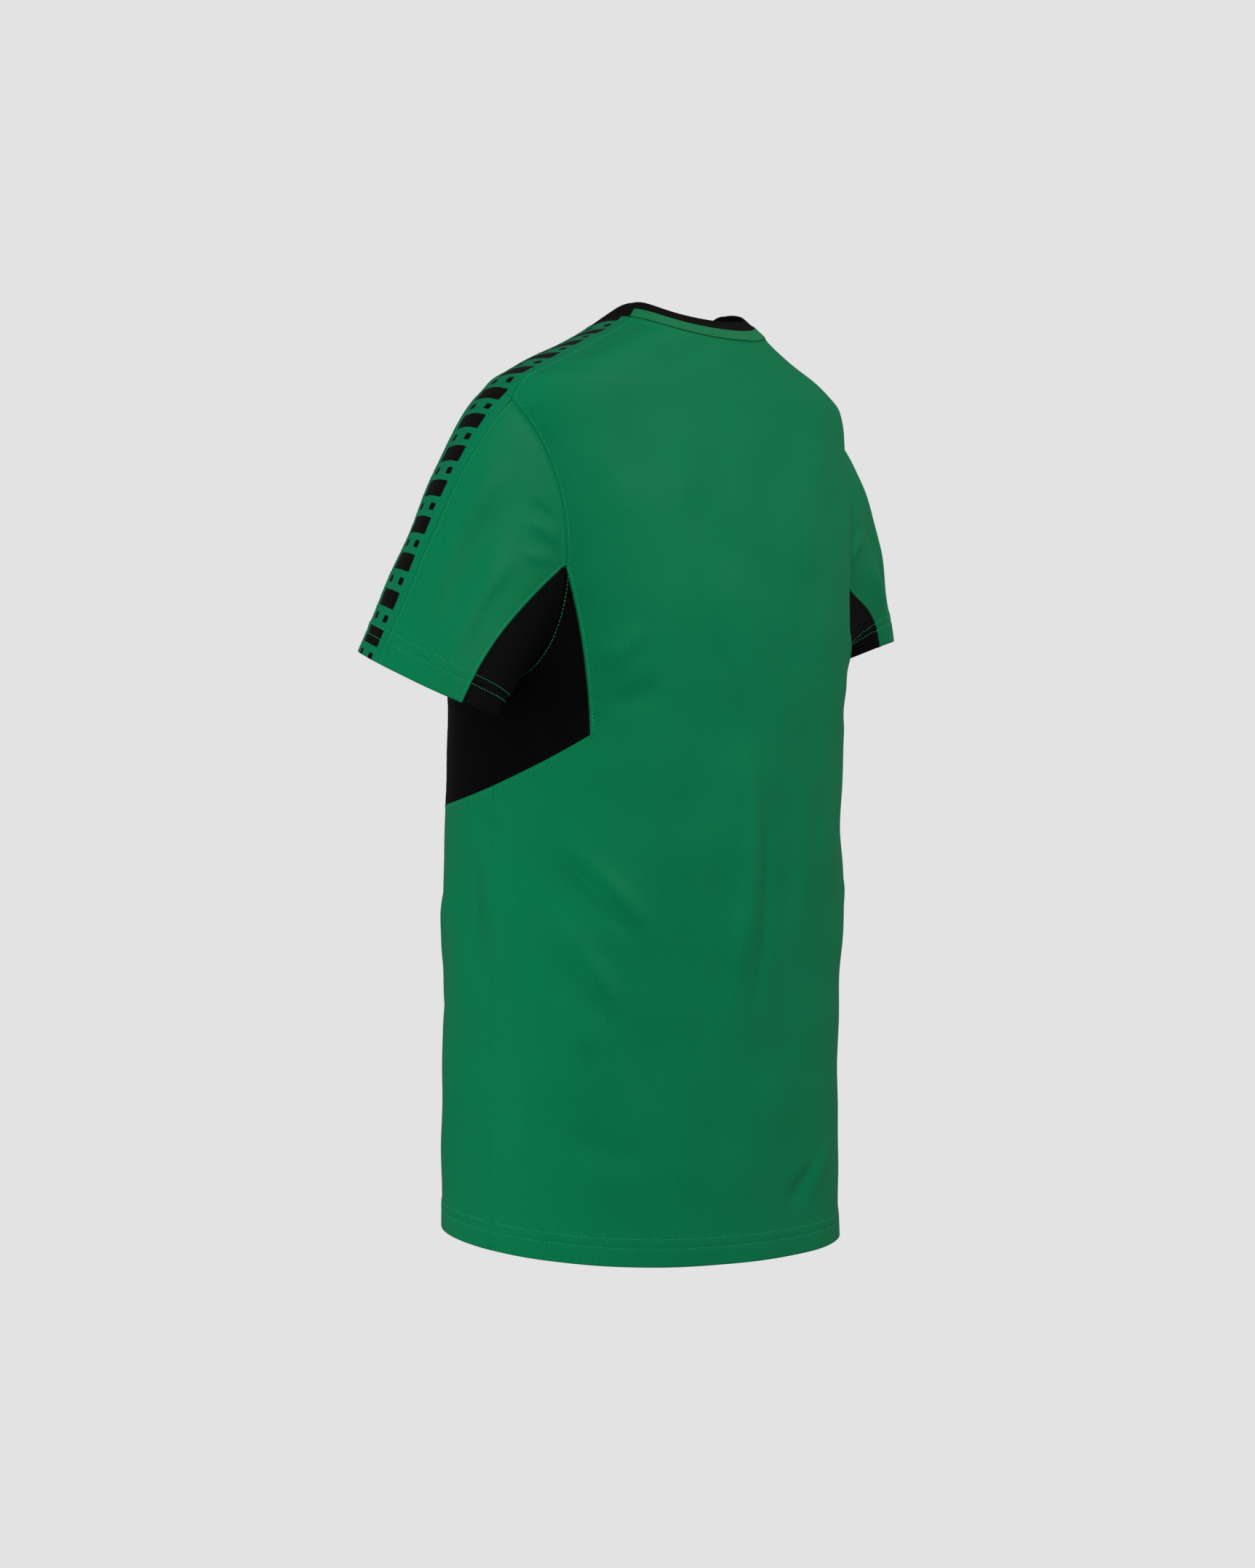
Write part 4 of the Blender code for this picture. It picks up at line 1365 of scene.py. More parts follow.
def face_area(points: Array, faces: list[list[int]]) -> float:
    """The area of some faces with three or four corners."""
    area = 0.0
    for sides in (3, 4):
        chosen = np.array([face for face in faces if len(face) == sides])
        if len(chosen):
            a, b, c = points[chosen[:, 0]], points[chosen[:, 1]], points[chosen[:, 2]]
            d = points[chosen[:, -1]]
            area += np.linalg.norm(np.cross(c - a, d - b if sides == 4 else b - a), axis=1).sum() / 2
    return float(area)


@dataclass
class ClothPiece:
    """A cut piece laid on its surface, ready to be made up."""

    name: str
    slot: Slot
    points: Array
    normals: Array
    faces: list[list[int]]
    chart: Array
    lay: Lay

    def make_up(self, finishes: Finishes) -> Object:
        """Args:
            finishes: The jersey's materials.

        Returns:
            The piece's object.
        """
        lift, walls = self.lay.shaped(self.points, self.normals)
        outer = self.points + self.normals * lift[:, None]
        inner = outer - self.normals * walls[:, None]
        points, faces = closed_shell(outer, inner, self.faces)
        chart = np.concatenate([self.chart, self.chart])
        item = mesh_object(f"{self.name}_cloth", points, faces, finishes.by_slot[self.slot], chart)
        width, length = np.ptp(self.chart, axis=0).tolist()
        area = min(face_area(self.points, self.faces), width * length)
        declare_cloth(item, self.name, (width, length), area)
        return item


def declare_cloth(item: Object, node: str, flat: Span, area: float) -> None:
    """Says what a cloth piece stands for and the size it was cut to.

    Args:
        item: The piece.
        node: The solid that it replaces.
        flat: The width and length of its cut.
        area: The area of its cut.
    """
    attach(item, "root")
    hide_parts(node)
    LOG.info("%s: cut %.3f x %.3f m, %.4f square metres, %d faces", item.name, *flat, area,
             len(item.data.polygons))


# ---- Stitches


@dataclass(frozen=True)
class Stitch:
    """One stitch: a short bent thread whose ends go into the cloth. Its rings are given by
    their share of its length, their share of the crown's height and their thickness."""

    length: float = 2.3 * MM
    pitch: float = 3.1 * MM
    radius: float = 0.24 * MM
    sides: int = 5
    crown: float = 0.18 * MM
    unevenness: float = 0.05
    rings: tuple[tuple[float, float, float], ...] = (
        (-0.50, -0.9, 0.5), (-0.30, 0.6, 0.95), (0.0, 1.0, 1.0), (0.30, 0.6, 0.95), (0.50, -0.9, 0.5))

    def template(self) -> tuple[Array, list[list[int]]]:
        """The points of one stitch along +X with the cloth's normal at +Z, and its faces."""
        turn = np.arange(self.sides) * TURN / self.sides
        points = [(share * self.length, self.radius * thick * math.cos(t), self.crown * high
                   + self.radius * thick * math.sin(t)) for share, high, thick in self.rings for t in turn]
        count, last = self.sides, (len(self.rings) - 1) * self.sides
        faces = [[r + count + i, r + count + (i + 1) % count, r + (i + 1) % count, r + i]
                 for r in range(0, last, count) for i in range(count)]
        return np.array(points), [*faces, list(range(count)), list(range(last, last + count))[::-1]]


class Stitching:
    """All rows of stitches of one part of the jersey, joined into one mesh."""

    aim = 0.5 * MM

    def __init__(self, name: str, stitch: Stitch = Stitch(), seed: int = 3) -> None:
        """Starts with no rows."""
        self.name = name
        self.stitch = stitch
        self.rng = np.random.default_rng(seed)
        self.points: list[Array] = []
        self.faces: list[list[int]] = []
        self.count = 0

    def row(self, line: Array, normals: Array, slant: float = 0.0) -> None:
        """Sews a row.

        Args:
            line: Points on the cloth, in order.
            normals: The cloth's outward normals there.
            slant: How far each second stitch turns one way and the others the other way.
        """
        run = run_lengths(line)
        count = int(run[-1] / self.stitch.pitch)
        if count < 1:
            return
        middles = (np.arange(count) + 0.5) * run[-1] / count
        at, up = read_off(middles, run, line), unit(read_off(middles, run, normals))
        way = unit(read_off(middles + self.aim, run, line) - read_off(middles - self.aim, run, line))
        side = unit(np.cross(up, way))
        turn = slant * (1 - 2 * (np.arange(count) % 2)) + self.rng.normal(0, self.stitch.unevenness, count)
        way, side = (way * np.cos(turn)[:, None] + side * np.sin(turn)[:, None],
                     side * np.cos(turn)[:, None] - way * np.sin(turn)[:, None])
        size = 1 + self.rng.normal(0, self.stitch.unevenness, count)[:, None, None]
        shape, faces = self.stitch.template()
        placed = at[:, None] + size * (shape[:, 0, None] * way[:, None] + shape[:, 1, None] * side[:, None]
                                       + shape[:, 2, None] * up[:, None])
        start = sum(len(block) for block in self.points)
        self.points.append(placed.reshape(-1, 3))
        for k in range(count):
            self.faces.extend([[i + start + k * len(shape) for i in face] for face in faces])
        self.count += count

    def make_up(self, thread: Material, slot: Slot = Slot.GREEN) -> Object:
        item = mesh_object(self.name, np.concatenate(self.points), self.faces, thread, sharp=math.pi)
        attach(item, "root")
        LOG.info("%s: %d stitches", self.name, self.count)
        return item


# ---- The body's panels


@dataclass
class Run:
    """A stretch of a panel's outline."""

    edge: Edge
    places: Array

    def mirrored(self, middle: float) -> "Run":
        """The same stretch on the other side of the body, run the other way."""
        flipped = paired(2 * middle - self.places[:, 0], self.places[:, 1])
        return Run(self.edge, flipped[::-1])

    def reversed(self) -> "Run":
        """The same stretch, run the other way."""
        return Run(self.edge, self.places[::-1])


@dataclass
class BodyPanel:
    """A panel cut from the body's surface inside a closed outline."""

    name: str
    slot: Slot
    runs: list[Run]
    relief: Relief
    sewn: tuple[Edge, ...]
    spacing: float = 3.6 * MM
    row_spacing: float = 0.87
    seam_steps: tuple[float, ...] = EDGE_STEPS[1:]
    corner_room: float = 0.82
    seam_room: float = 0.55
    hem_room: float = 0.3
    gap: float = 0.03 * MM
    lap: float = 0.35 * MM
    stitch_gap: float = 2.4 * MM
    cell: float = 0.4 * MM
    welded: float = 1e-7

    @cached_property
    def outline(self) -> Array:
        """The closed outline's places."""
        return np.concatenate([run.places[:-1] for run in self.runs])

    def of_each(self, value: Callable[[Edge], float]) -> Array:
        """A value for each place of the outline, from the edge that it is on."""
        return np.concatenate([np.full(len(run.places) - 1, value(run.edge)) for run in self.runs])

    @cached_property
    def inward(self) -> Array:
        """How each place of the outline moves for each metre inwards."""
        points = BODY.point(self.outline)
        tangent = unit(np.roll(points, -1, axis=0) - np.roll(points, 1, axis=0))
        way = np.cross(BODY.normal(self.outline), tangent)
        return (BODY.slid(self.outline, way * MM) - self.outline) / MM

    @cached_property
    def lay(self) -> Lay:
        """What shapes the panel's cloth."""
        lines = [(run.edge, BODY.point(run.places)) for run in self.runs]
        held = [line for edge, line in lines if edge in (Edge.ARMHOLE, Edge.NECK)]
        return Lay(self.relief, lines, held, HEM)

    def inset(self, distance: float, edge: Edge | None = None) -> Array:
        """The outline's places moved inwards, all of them or one edge's."""
        moved = self.outline + self.inward * distance
        return moved if edge is None else moved[self.of_each(lambda found: found is edge)]

    def grid(self, flat: Array) -> Array:
        """Fills an outline with a staggered grid.

        Args:
            flat: The flat outline.

        Returns:
            The flat points inside it.
        """
        start, end = flat, np.roll(flat, -1, axis=0)
        low, high = flat.min(axis=0), flat.max(axis=0)
        rows = []
        heights = np.arange(low[1] + self.spacing / 2, high[1], self.row_spacing * self.spacing)
        for number, v in enumerate(heights):
            crosses = (start[:, 1] > v) != (end[:, 1] > v)
            a, b = start[crosses], end[crosses]
            cuts = np.sort(a[:, 0] + (v - a[:, 1]) * (b[:, 0] - a[:, 0]) / (b[:, 1] - a[:, 1]))
            u = np.arange(low[0] + 0.5 * (number % 2) * self.spacing, high[0], self.spacing)
            rows.append(paired(u[np.searchsorted(cuts, u) % 2 == 1], v))
        return np.concatenate(rows)

    def inner_places(self) -> Array:
        """Lays out rows beside the seams and the hem, and the grid between them.

        Returns:
            The places inside the outline.
        """
        edge_points = BODY.point(self.outline)
        closed = np.vstack([edge_points, edge_points[:1]])
        hem = [line for edge, line in self.lay.outline if edge is Edge.HEM]
        rows = [(step, None, self.corner_room * step) for step in self.seam_steps]
        if hem:
            most = self.seam_steps[-1]
            rows += [(step, Edge.HEM, min(self.corner_room * step, most)) for step in HEM.steps]
        chosen = []
        for step, edge, room in rows:
            row = self.inset(step, edge)
            chosen.append(row[near_line(BODY.point(row), closed).gap > room])
        grid = BODY.from_flat(self.grid(BODY.to_flat(self.outline)))
        points = BODY.point(grid)
        tree = KDTree(len(edge_points))
        for i, point in enumerate(edge_points):
            tree.insert(point, i)
        tree.balance()
        room = self.seam_steps[-1] + self.seam_room * self.spacing
        clear = np.array([tree.find(point)[2] for point in points]) > room
        for line in hem:
            gaps = near_line(points, line).gap
            clear &= np.abs(gaps[:, None] - np.array(HEM.steps)).min(axis=1) > self.hem_room * self.spacing
        chosen.append(grid[clear])
        return self.thinned(np.concatenate(chosen))

    def thinned(self, places: Array) -> Array:
        """Places without those that all but touch an earlier one."""
        keys = np.round(BODY.to_flat(places) / self.cell).astype(int)
        _, first = np.unique(keys, axis=0, return_index=True)
        return places[np.sort(first)]

    def piece(self) -> ClothPiece:
        """Cuts the panel.

        Returns:
            The panel, with its edge lapped at the armholes and a hair inside its other seams.
        """
        gaps = self.of_each(lambda edge: -self.lap if edge is Edge.ARMHOLE else self.gap)
        border = self.outline + self.inward * gaps[:, None]
        flat = BODY.to_flat(np.concatenate([border, self.inner_places()]))
        loop = [list(range(len(border)))]
        points, _, faces, _, _, _ = delaunay_2d_cdt([Vector(p) for p in flat], [], loop, 1, self.welded)
        places = BODY.from_flat(np.array([tuple(p) for p in points]))
        used = np.unique([i for face in faces for i in face])
        order = np.full(len(places), -1)
        order[used] = np.arange(len(used))
        places = places[used]
        return ClothPiece(self.name, self.slot, BODY.point(places), BODY.normal(places),
                          order[np.array(faces)].tolist(), BODY.chart(places), self.lay)

    def sew(self, stitching: Stitching) -> None:
        """Sews the rows beside the panel's seams and along its hem.

        Args:
            stitching: The rows of stitches.
        """
        offset = 0
        for run in self.runs:
            picked = np.arange(offset, offset + len(run.places) - 1)
            offset += len(picked)
            if run.edge not in self.sewn:
                continue
            for step in HEM.rows if run.edge is Edge.HEM else (self.stitch_gap,):
                places = self.outline[picked] + self.inward[picked] * step
                points, normals = BODY.point(places), BODY.normal(places)
                stitching.row(self.lay.seated(points, normals), normals)


@dataclass
class Body:
    """The back, the front and the two side panels."""

    step: float = 2.6 * MM

    @cached_property
    def relief(self) -> Relief:
        """The body's creases."""
        return Relief(BODY, BODY_CREASES)

    def traced(self, edge: Edge, curve: Curve, start: float, end: float) -> Run:
        """A stretch of outline at even steps along a curve."""
        return Run(edge, BODY.traced(curve, start, end, self.step))

    @cached_property
    def side(self) -> Run:
        """The left side seam, from the hem to the side panel."""
        s, angle = SEAMS, np.array([SEAMS.side_seam])
        start, end = float(s.hem(angle)[0, 1]), float(s.lower_edge(angle)[0, 1])
        return self.traced(Edge.SIDE, lambda height: paired(s.side_seam, height), start, end)

    def left_seams(self, corner: Span, gusset: float, arm: float, tape: Curve) -> list[Run]:
        """The left seams of the back or the front.

        Args:
            corner: The side panel's lower corner.
            gusset: Where the gusset's seam meets the armhole.
            arm: Where the shoulder tape meets it.
            tape: The shoulder tape's edge.

        Returns:
            Their stretches, from the hem up to the neck.
        """
        s = SEAMS
        return [
            self.side,
            self.traced(Edge.PANEL, s.lower_edge, s.side_seam, corner[0]),
            self.traced(Edge.PANEL, s.panel_edge(corner, gusset), 0, 1),
            self.traced(Edge.ARMHOLE, s.armhole, gusset, arm),
            self.traced(Edge.SHOULDER, tape, 1, 0),
        ]

    @cached_property
    def side_back(self) -> list[Run]:
        """The back's left seams."""
        s = SEAMS
        tape = s.tape_line(s.tape_neck_back, s.tape_back, s.tape_bow)
        return self.left_seams(s.panel_back_corner, s.gusset_back, s.tape_back, tape)

    @cached_property
    def side_front(self) -> list[Run]:
        """The front's left seams."""
        s = SEAMS
        tape = s.tape_line(s.tape_neck_front, s.tape_front, 0.0)
        return self.left_seams(s.panel_front_corner, s.gusset_front, TURN + s.tape_front, tape)

    def back(self) -> BodyPanel:
        """The back panel."""
        s = SEAMS
        runs = [self.traced(Edge.HEM, s.hem, s.side_seam, math.pi - s.side_seam)]
        runs += [run.mirrored(QUARTER).reversed() for run in self.side_back]
        runs += [self.traced(Edge.NECK, s.neck, math.pi - s.tape_neck_back, s.tape_neck_back)]
        runs += [run.reversed() for run in self.side_back[::-1]]
        sewn = (Edge.HEM, Edge.PANEL, Edge.ARMHOLE, Edge.SHOULDER)
        return BodyPanel("back_panel", Slot.GREEN, runs, self.relief, sewn)

    def front(self) -> BodyPanel:
        """The front panel, cut like the back with a deeper neck."""
        s = SEAMS
        runs = list(self.side_front)
        runs += [self.traced(Edge.NECK, s.neck, s.tape_neck_front, -math.pi - s.tape_neck_front)]
        runs += [run.mirrored(-QUARTER) for run in self.side_front[::-1]]
        runs += [self.traced(Edge.HEM, s.hem, -math.pi - s.side_seam, s.side_seam)]
        sewn = (Edge.HEM, Edge.PANEL, Edge.ARMHOLE, Edge.SHOULDER, Edge.NECK)
        return BodyPanel("front_panel", Slot.GREEN, runs, self.relief, sewn)

    def sides(self) -> list[BodyPanel]:
        """The left and the right side panel."""
        s = SEAMS
        _, front_foot, front_edge, *_ = self.side_front
        _, back_foot, back_edge, *_ = self.side_back
        left = [self.traced(Edge.ARMHOLE, s.armhole, s.gusset_back, s.gusset_front),
                front_edge.reversed(), front_foot.reversed(), back_foot, back_edge]
        right = [run.mirrored(QUARTER) for run in left[::-1]]
        return [BodyPanel(f"side_panel_{name}", Slot.BLACK, runs, self.relief, (Edge.ARMHOLE,))
                for name, runs in (("left", left), ("right", right))]

    def build(self, finishes: Finishes) -> None:
        """Makes the four panels and their stitches."""
        stitching = Stitching("body_stitches")
        for panel in (self.back(), self.front(), *self.sides()):
            panel.piece().make_up(finishes)
            panel.sew(stitching)
        stitching.make_up(finishes.thread)


# ---- The sleeves and the shoulder tapes


@dataclass(frozen=True)
class Steps:
    """Distances at which a grid has its lines, from one end and from the other."""

    near: tuple[float, ...] = EDGE_STEPS
    far: tuple[float, ...] = EDGE_STEPS

    def over(self, length: Array, count: int) -> Array:
        """Lines over some lengths.

        Args:
            length: The lengths, of any shape.
            count: How many even steps lie between the two ends' lines.

        Returns:
            The lines' distances, with one more axis at the end.
        """
        length = np.asarray(length, float)[..., None]
        near = np.broadcast_to(np.array(self.near), (*length.shape[:-1], len(self.near)))
        far = length - np.array(self.far)[::-1]
        share = np.linspace(0, 1, count + 1)[1:-1]
        middle = near[..., -1:] + (far[..., :1] - near[..., -1:]) * share
        return np.concatenate([near, middle, far], axis=-1)


SEAM_TO_SEAM = Steps()
SEAM_TO_CUFF = Steps(far=(0.0, *CUFF.steps))


@dataclass
class SleevePiece:
    """A piece of a sleeve between two seams that run from the armhole to the cuff."""

    name: str
    slot: Slot
    surface: SleeveSurface
    relief: Relief
    turns: Span
    edges: tuple[Edge, Edge]
    sewn: bool
    pitch: float = 3.8 * MM
    stitch_gap: float = 2.4 * MM
    rows: int = 61
    columns_traced: int = 41
    ring: int = 121
    ring_past: float = 0.05

    @cached_property
    def shares(self) -> Array:
        """Fine shares from the armhole to the cuff."""
        return np.linspace(0, 1, self.rows)

    def ring_line(self, share: float) -> Array:
        """The points round the piece at one share, and a little past its seams."""
        turns = np.linspace(self.turns[0] - self.ring_past, self.turns[1] + self.ring_past, self.ring)
        return self.surface.point(paired(turns, share))

    @cached_property
    def lay(self) -> Lay:
        """What shapes the piece's cloth."""
        outline = [(edge, self.surface.point(paired(turn, self.shares)))
                   for edge, turn in zip(self.edges, self.turns)]
        armhole = self.ring_line(0.0)
        outline += [(Edge.ARMHOLE, armhole), (Edge.HEM, self.ring_line(1.0))]
        return Lay(self.relief, outline, [armhole], CUFF, SLEEVE_HEAD)

    def columns(self) -> Array:
        """The turns of the piece's columns at each fine share."""
        turns = np.linspace(*self.turns, self.columns_traced)
        run = run_lengths(self.surface.grid_points(np.stack(np.meshgrid(turns, self.shares), axis=2)), 1)
        wanted = SEAM_TO_SEAM.over(run[:, -1], round(float(run[:, -1].max()) / self.pitch))
        return np.stack([np.interp(want, have, turns) for want, have in zip(wanted, run)])

    @cached_property
    def places(self) -> Array:
        """The grid's places: rows from the armhole to the cuff."""
        columns = self.columns()
        run = run_lengths(self.surface.grid_points(paired(columns, self.shares[:, None])))
        wanted = SEAM_TO_CUFF.over(run[-1], round(float(run[-1].max()) / self.pitch))
        shares = np.stack([np.interp(want, have, self.shares) for want, have in zip(wanted, run.T)], axis=1)
        turns = [np.interp(share, self.shares, column) for share, column in zip(shares.T, columns.T)]
        return paired(np.stack(turns, axis=1), shares)

    def piece(self) -> ClothPiece:
        """Cuts the piece."""
        rows, columns = self.places.shape[:2]
        flat = self.places.reshape(-1, 2)
        points, normals = self.surface.point(flat), self.surface.normal(flat)
        grid = points.reshape(rows, columns, 3)
        across, down = run_lengths(grid, 1), run_lengths(grid)
        chart = paired(across - across[:, [columns // 2]], down[-1:] - down).reshape(-1, 2)
        faces = grid_faces(rows, columns, self.surface.sizes.side > 0)
        return ClothPiece(self.name, self.slot, points, normals, faces, chart, self.lay)

    def sew(self, stitching: Stitching) -> None:
        """Sews the rows beside the seams and round the cuff."""
        column = SEAM_TO_SEAM.near.index(self.stitch_gap)
        lines = [self.places[:, column], self.places[:, -1 - column]] if self.sewn else []
        lines += [self.places[-1 - SEAM_TO_CUFF.far.index(row)] for row in CUFF.rows]
        for line in lines:
            points, normals = self.surface.point(line), self.surface.normal(line)
            stitching.row(self.lay.seated(points, normals), normals)


@dataclass
class ShoulderTape:
    """The printed tape, over the shoulder from the neck seam and down the sleeve."""

    name: str
    surface: SleeveSurface
    reliefs: tuple[Relief, Relief]
    width: float = 40 * MM
    pitch: float = 3.0 * MM
    across_count: int = 11
    shoulder_step: float = 2.5 * MM
    arm_count: int = 101
    edge_count: int = 61
    held_count: int = 41
    held_past: float = 0.1
    ease: int = 3

    def across(self) -> Array:
        """Shares across the tape at which the grid has its columns."""
        return SEAM_TO_SEAM.over(np.array(self.width), self.across_count) / self.width

    def line(self, share: float) -> tuple[Array, Array]:
        """Fine points and normals along the tape at one share of its width.

        Args:
            share: 0 at the front edge and 1 at the back edge.

        Returns:
            The points and the normals from the neck to the cuff.
        """
        s, surface = SEAMS, self.surface
        turn = self.spread(s.armhole, s.tape_front, s.tape_back, share)
        neck = self.spread(s.neck, s.tape_neck_front, s.tape_neck_back, share)
        places = BODY.traced(s.tape_line(neck, turn, s.tape_bow * share), 0, 1, self.shoulder_step)
        arm = paired(turn, np.linspace(0, 1, self.arm_count))
        points = np.concatenate([BODY.point(places)[:-1] * surface.flip, surface.point(arm)])
        normals = np.concatenate([BODY.normal(places)[:-1] * surface.flip, surface.normal(arm)])
        return points, self.eased(normals, len(places) - 1)

    def spread(self, curve: Curve, start: float, end: float, share: float) -> float:
        """The number at a share of the length of a curve that runs from start to end."""
        fine = np.linspace(start, end, self.edge_count)
        run = run_lengths(BODY.point(curve(fine)))
        return float(np.interp(share * run[-1], run, fine))

    def eased(self, normals: Array, joint: int) -> Array:
        """Normals with the turn at the armhole, at the joint, spread over a few points."""
        eased, reach = normals.copy(), self.ease
        for i in range(joint - reach, joint + reach + 1):
            eased[i] = normals[i - reach:i + reach + 1].sum(axis=0)
        return unit(eased)

    def held_line(self, curve: Curve, start: float, end: float) -> Array:
        """The points of a seam that holds the tape flat, a little past both of its edges."""
        fine = np.linspace(start - self.held_past, end + self.held_past, self.held_count)
        return BODY.point(curve(fine)) * self.surface.flip

    @cached_property
    def grid(self) -> tuple[Array, Array, Array]:
        """Lays a grid over the tape.

        Returns:
            Its points, its normals and its runs along the tape's middle.
        """
        lines = [self.line(share) for share in self.across()]
        runs = [run_lengths(points) for points, _ in lines]
        count = round(float(max(run[-1] for run in runs)) / self.pitch)
        wanted = SEAM_TO_CUFF.over(np.array([run[-1] for run in runs]), count)
        points, normals = (np.stack([read_off(want, run, line[k]) for want, run, line
                                     in zip(wanted, runs, lines)], axis=1) for k in range(2))
        return points, unit(normals), wanted[len(wanted) // 2]

    @cached_property
    def lay(self) -> Lay:
        """What shapes the tape's cloth.

        Returns:
            The lay, held flat along the armhole and the neck.
        """
        s, (points, _, _) = SEAMS, self.grid
        armhole = self.held_line(s.armhole, s.tape_front, s.tape_back)
        neck = self.held_line(s.neck, s.tape_neck_front, s.tape_neck_back)
        edges = [(Edge.SHOULDER, self.line(share)[0]) for share in (0.0, 1.0)]
        outline = [*edges, (Edge.NECK, points[0]), (Edge.HEM, points[-1])]
        relief = TapeRelief(*self.reliefs, float(np.abs(armhole[:, 0]).mean()))
        return Lay(relief, outline, [armhole, neck], CUFF)

    def piece(self) -> ClothPiece:
        """Cuts the tape."""
        points, normals, along = self.grid
        chart = paired(self.across() * self.width, along[:, None]).reshape(-1, 2)
        faces = grid_faces(*points.shape[:2], self.surface.sizes.side < 0)
        return ClothPiece(self.name, Slot.TAPE, points.reshape(-1, 3), normals.reshape(-1, 3), faces,
                          chart, self.lay)

    def sew(self, stitching: Stitching) -> None:
        """Sews the two cuff rows across the tape."""
        points, normals, _ = self.grid
        for row in CUFF.rows:
            at = -1 - SEAM_TO_CUFF.far.index(row)
            stitching.row(self.lay.seated(points[at], normals[at]), normals[at])


@dataclass
class Sleeve:
    """One sleeve: its two green halves, its black gusset and its shoulder tape."""

    name: str
    body_relief: Relief

    def build(self, finishes: Finishes) -> None:
        """Makes the sleeve's pieces and stitches."""
        s, surface = SEAMS, SLEEVE_SURFACES[self.name]
        relief = Relief(surface, SLEEVE_CREASES[self.name])
        tape, gusset = Edge.SHOULDER, Edge.PANEL
        pieces = (
            SleevePiece(f"sleeve_back_{self.name}", Slot.GREEN, surface, relief,
                        (s.tape_back, s.gusset_back), (tape, gusset), True),
            SleevePiece(f"sleeve_gusset_{self.name}", Slot.BLACK, surface, relief,
                        (s.gusset_back, s.gusset_front), (gusset, gusset), False),
            SleevePiece(f"sleeve_front_{self.name}", Slot.GREEN, surface, relief,
                        (s.gusset_front, TURN + s.tape_front), (gusset, tape), True),
            ShoulderTape(f"shoulder_tape_{self.name}", surface, (self.body_relief, relief)),
        )
        stitching = Stitching(f"sleeve_stitches_{self.name}")
        for piece in pieces:
            piece.piece().make_up(finishes)
            piece.sew(stitching)
        stitching.make_up(finishes.thread)


# ---- The collar


@dataclass
class Collar:
    """The folded rib band round the neck. It leans in from the seam, and its inner layer
    sits on the body's cloth near its foot."""

    height: float = 22.4 * MM
    thickness: float = 2.6 * MM
    seam_gap: float = 0.3 * MM
    lean_back: float = 0.70
    lean_side: float = 0.83
    lean_front: float = 0.83
    swell: float = 0.16 * MM
    inner_swell: float = 0.1 * MM
    roll: float = 0.35 * MM
    roll_reach: float = 0.8 * MM
    seat: float = 9 * MM
    rows: tuple[float, ...] = (0.7 * MM, 1.2 * MM, 2 * MM, 3.5 * MM, 6 * MM, 9 * MM, 12 * MM, 14.5 * MM)
    step: float = 2.0 * MM

    def frame(self, places: Array) -> tuple[Array, Array, Array, Array]:
        """The band's foot, the way up it, the way out of it and the body's normal there."""
        angle = places[:, 0]
        back, front = np.maximum(0, np.sin(angle)), np.maximum(0, -np.sin(angle))
        lean = self.lean_back * back + self.lean_front * front + self.lean_side * (1 - back - front)
        outward = np.stack([np.cos(angle), np.sin(angle), np.zeros(len(angle))], axis=1)
        up = np.sqrt(1 - lean**2)[:, None] * np.array([0, 0, 1.0]) - outward * lean[:, None]
        face = unit(outward - up * (outward * up).sum(axis=1, keepdims=True))
        return BODY.point(places), up, face, BODY.normal(places)

    def profile(self) -> Array:
        """The band's cross-section.

        Returns:
            How far up it and how far in from its face each point lies, and how much of that
            goes along the body's normal instead, one row each.
        """
        half = self.thickness / 2
        top = self.height - half
        rise = np.array([self.seam_gap, *self.rows])
        belly = [math.sin(math.pi * v / self.height) for v in rise]
        outer = [(v, self.roll * math.exp(-((v / self.roll_reach) ** 2)) - self.swell * full, 0.0)
                 for v, full in zip(rise, belly)]
        cap = [(top + half * math.sin(t), half - half * math.cos(t), 0.0) for t in np.linspace(0, math.pi, 9)]
        inner = [(v, self.thickness - self.inner_swell * full, float(np.clip(1 - v / self.seat, 0, 1)))
                 for v, full in zip(rise, belly)]
        return np.array(outer + cap + inner[::-1])

    def build(self, finishes: Finishes) -> None:
        """Makes the ribbed band."""
        ring = BODY.traced(SEAMS.neck, -math.pi, math.pi, self.step)[:-1]
        foot, up, face, normal = self.frame(ring)
        profile = self.profile()
        inward = face[:, None] * (1 - profile[None, :, 2:]) + normal[:, None] * profile[None, :, 2:]
        points = foot[:, None] + up[:, None] * profile[None, :, :1] - inward * profile[None, :, 1:2]
        rows, columns = points.shape[:2]
        index = np.arange(rows * columns).reshape(rows, columns)
        after, beside = np.roll(index, -1, axis=0), np.roll(index, -1, axis=1)
        faces = np.stack([index, after, np.roll(after, -1, axis=1), beside], axis=2).reshape(-1, 4)
        run = run_lengths(np.vstack([foot, foot[:1]]))
        chart = paired(run[:-1, None], run_lengths(profile[:, :2])).reshape(-1, 2)
        item = mesh_object("collar_band_cloth", points.reshape(-1, 3), faces.tolist(),
                           finishes.by_slot[Slot.RIB], chart)
        length, width = float(run[-1]), self.height
        declare_cloth(item, "collar_band", (length, width), length * width)


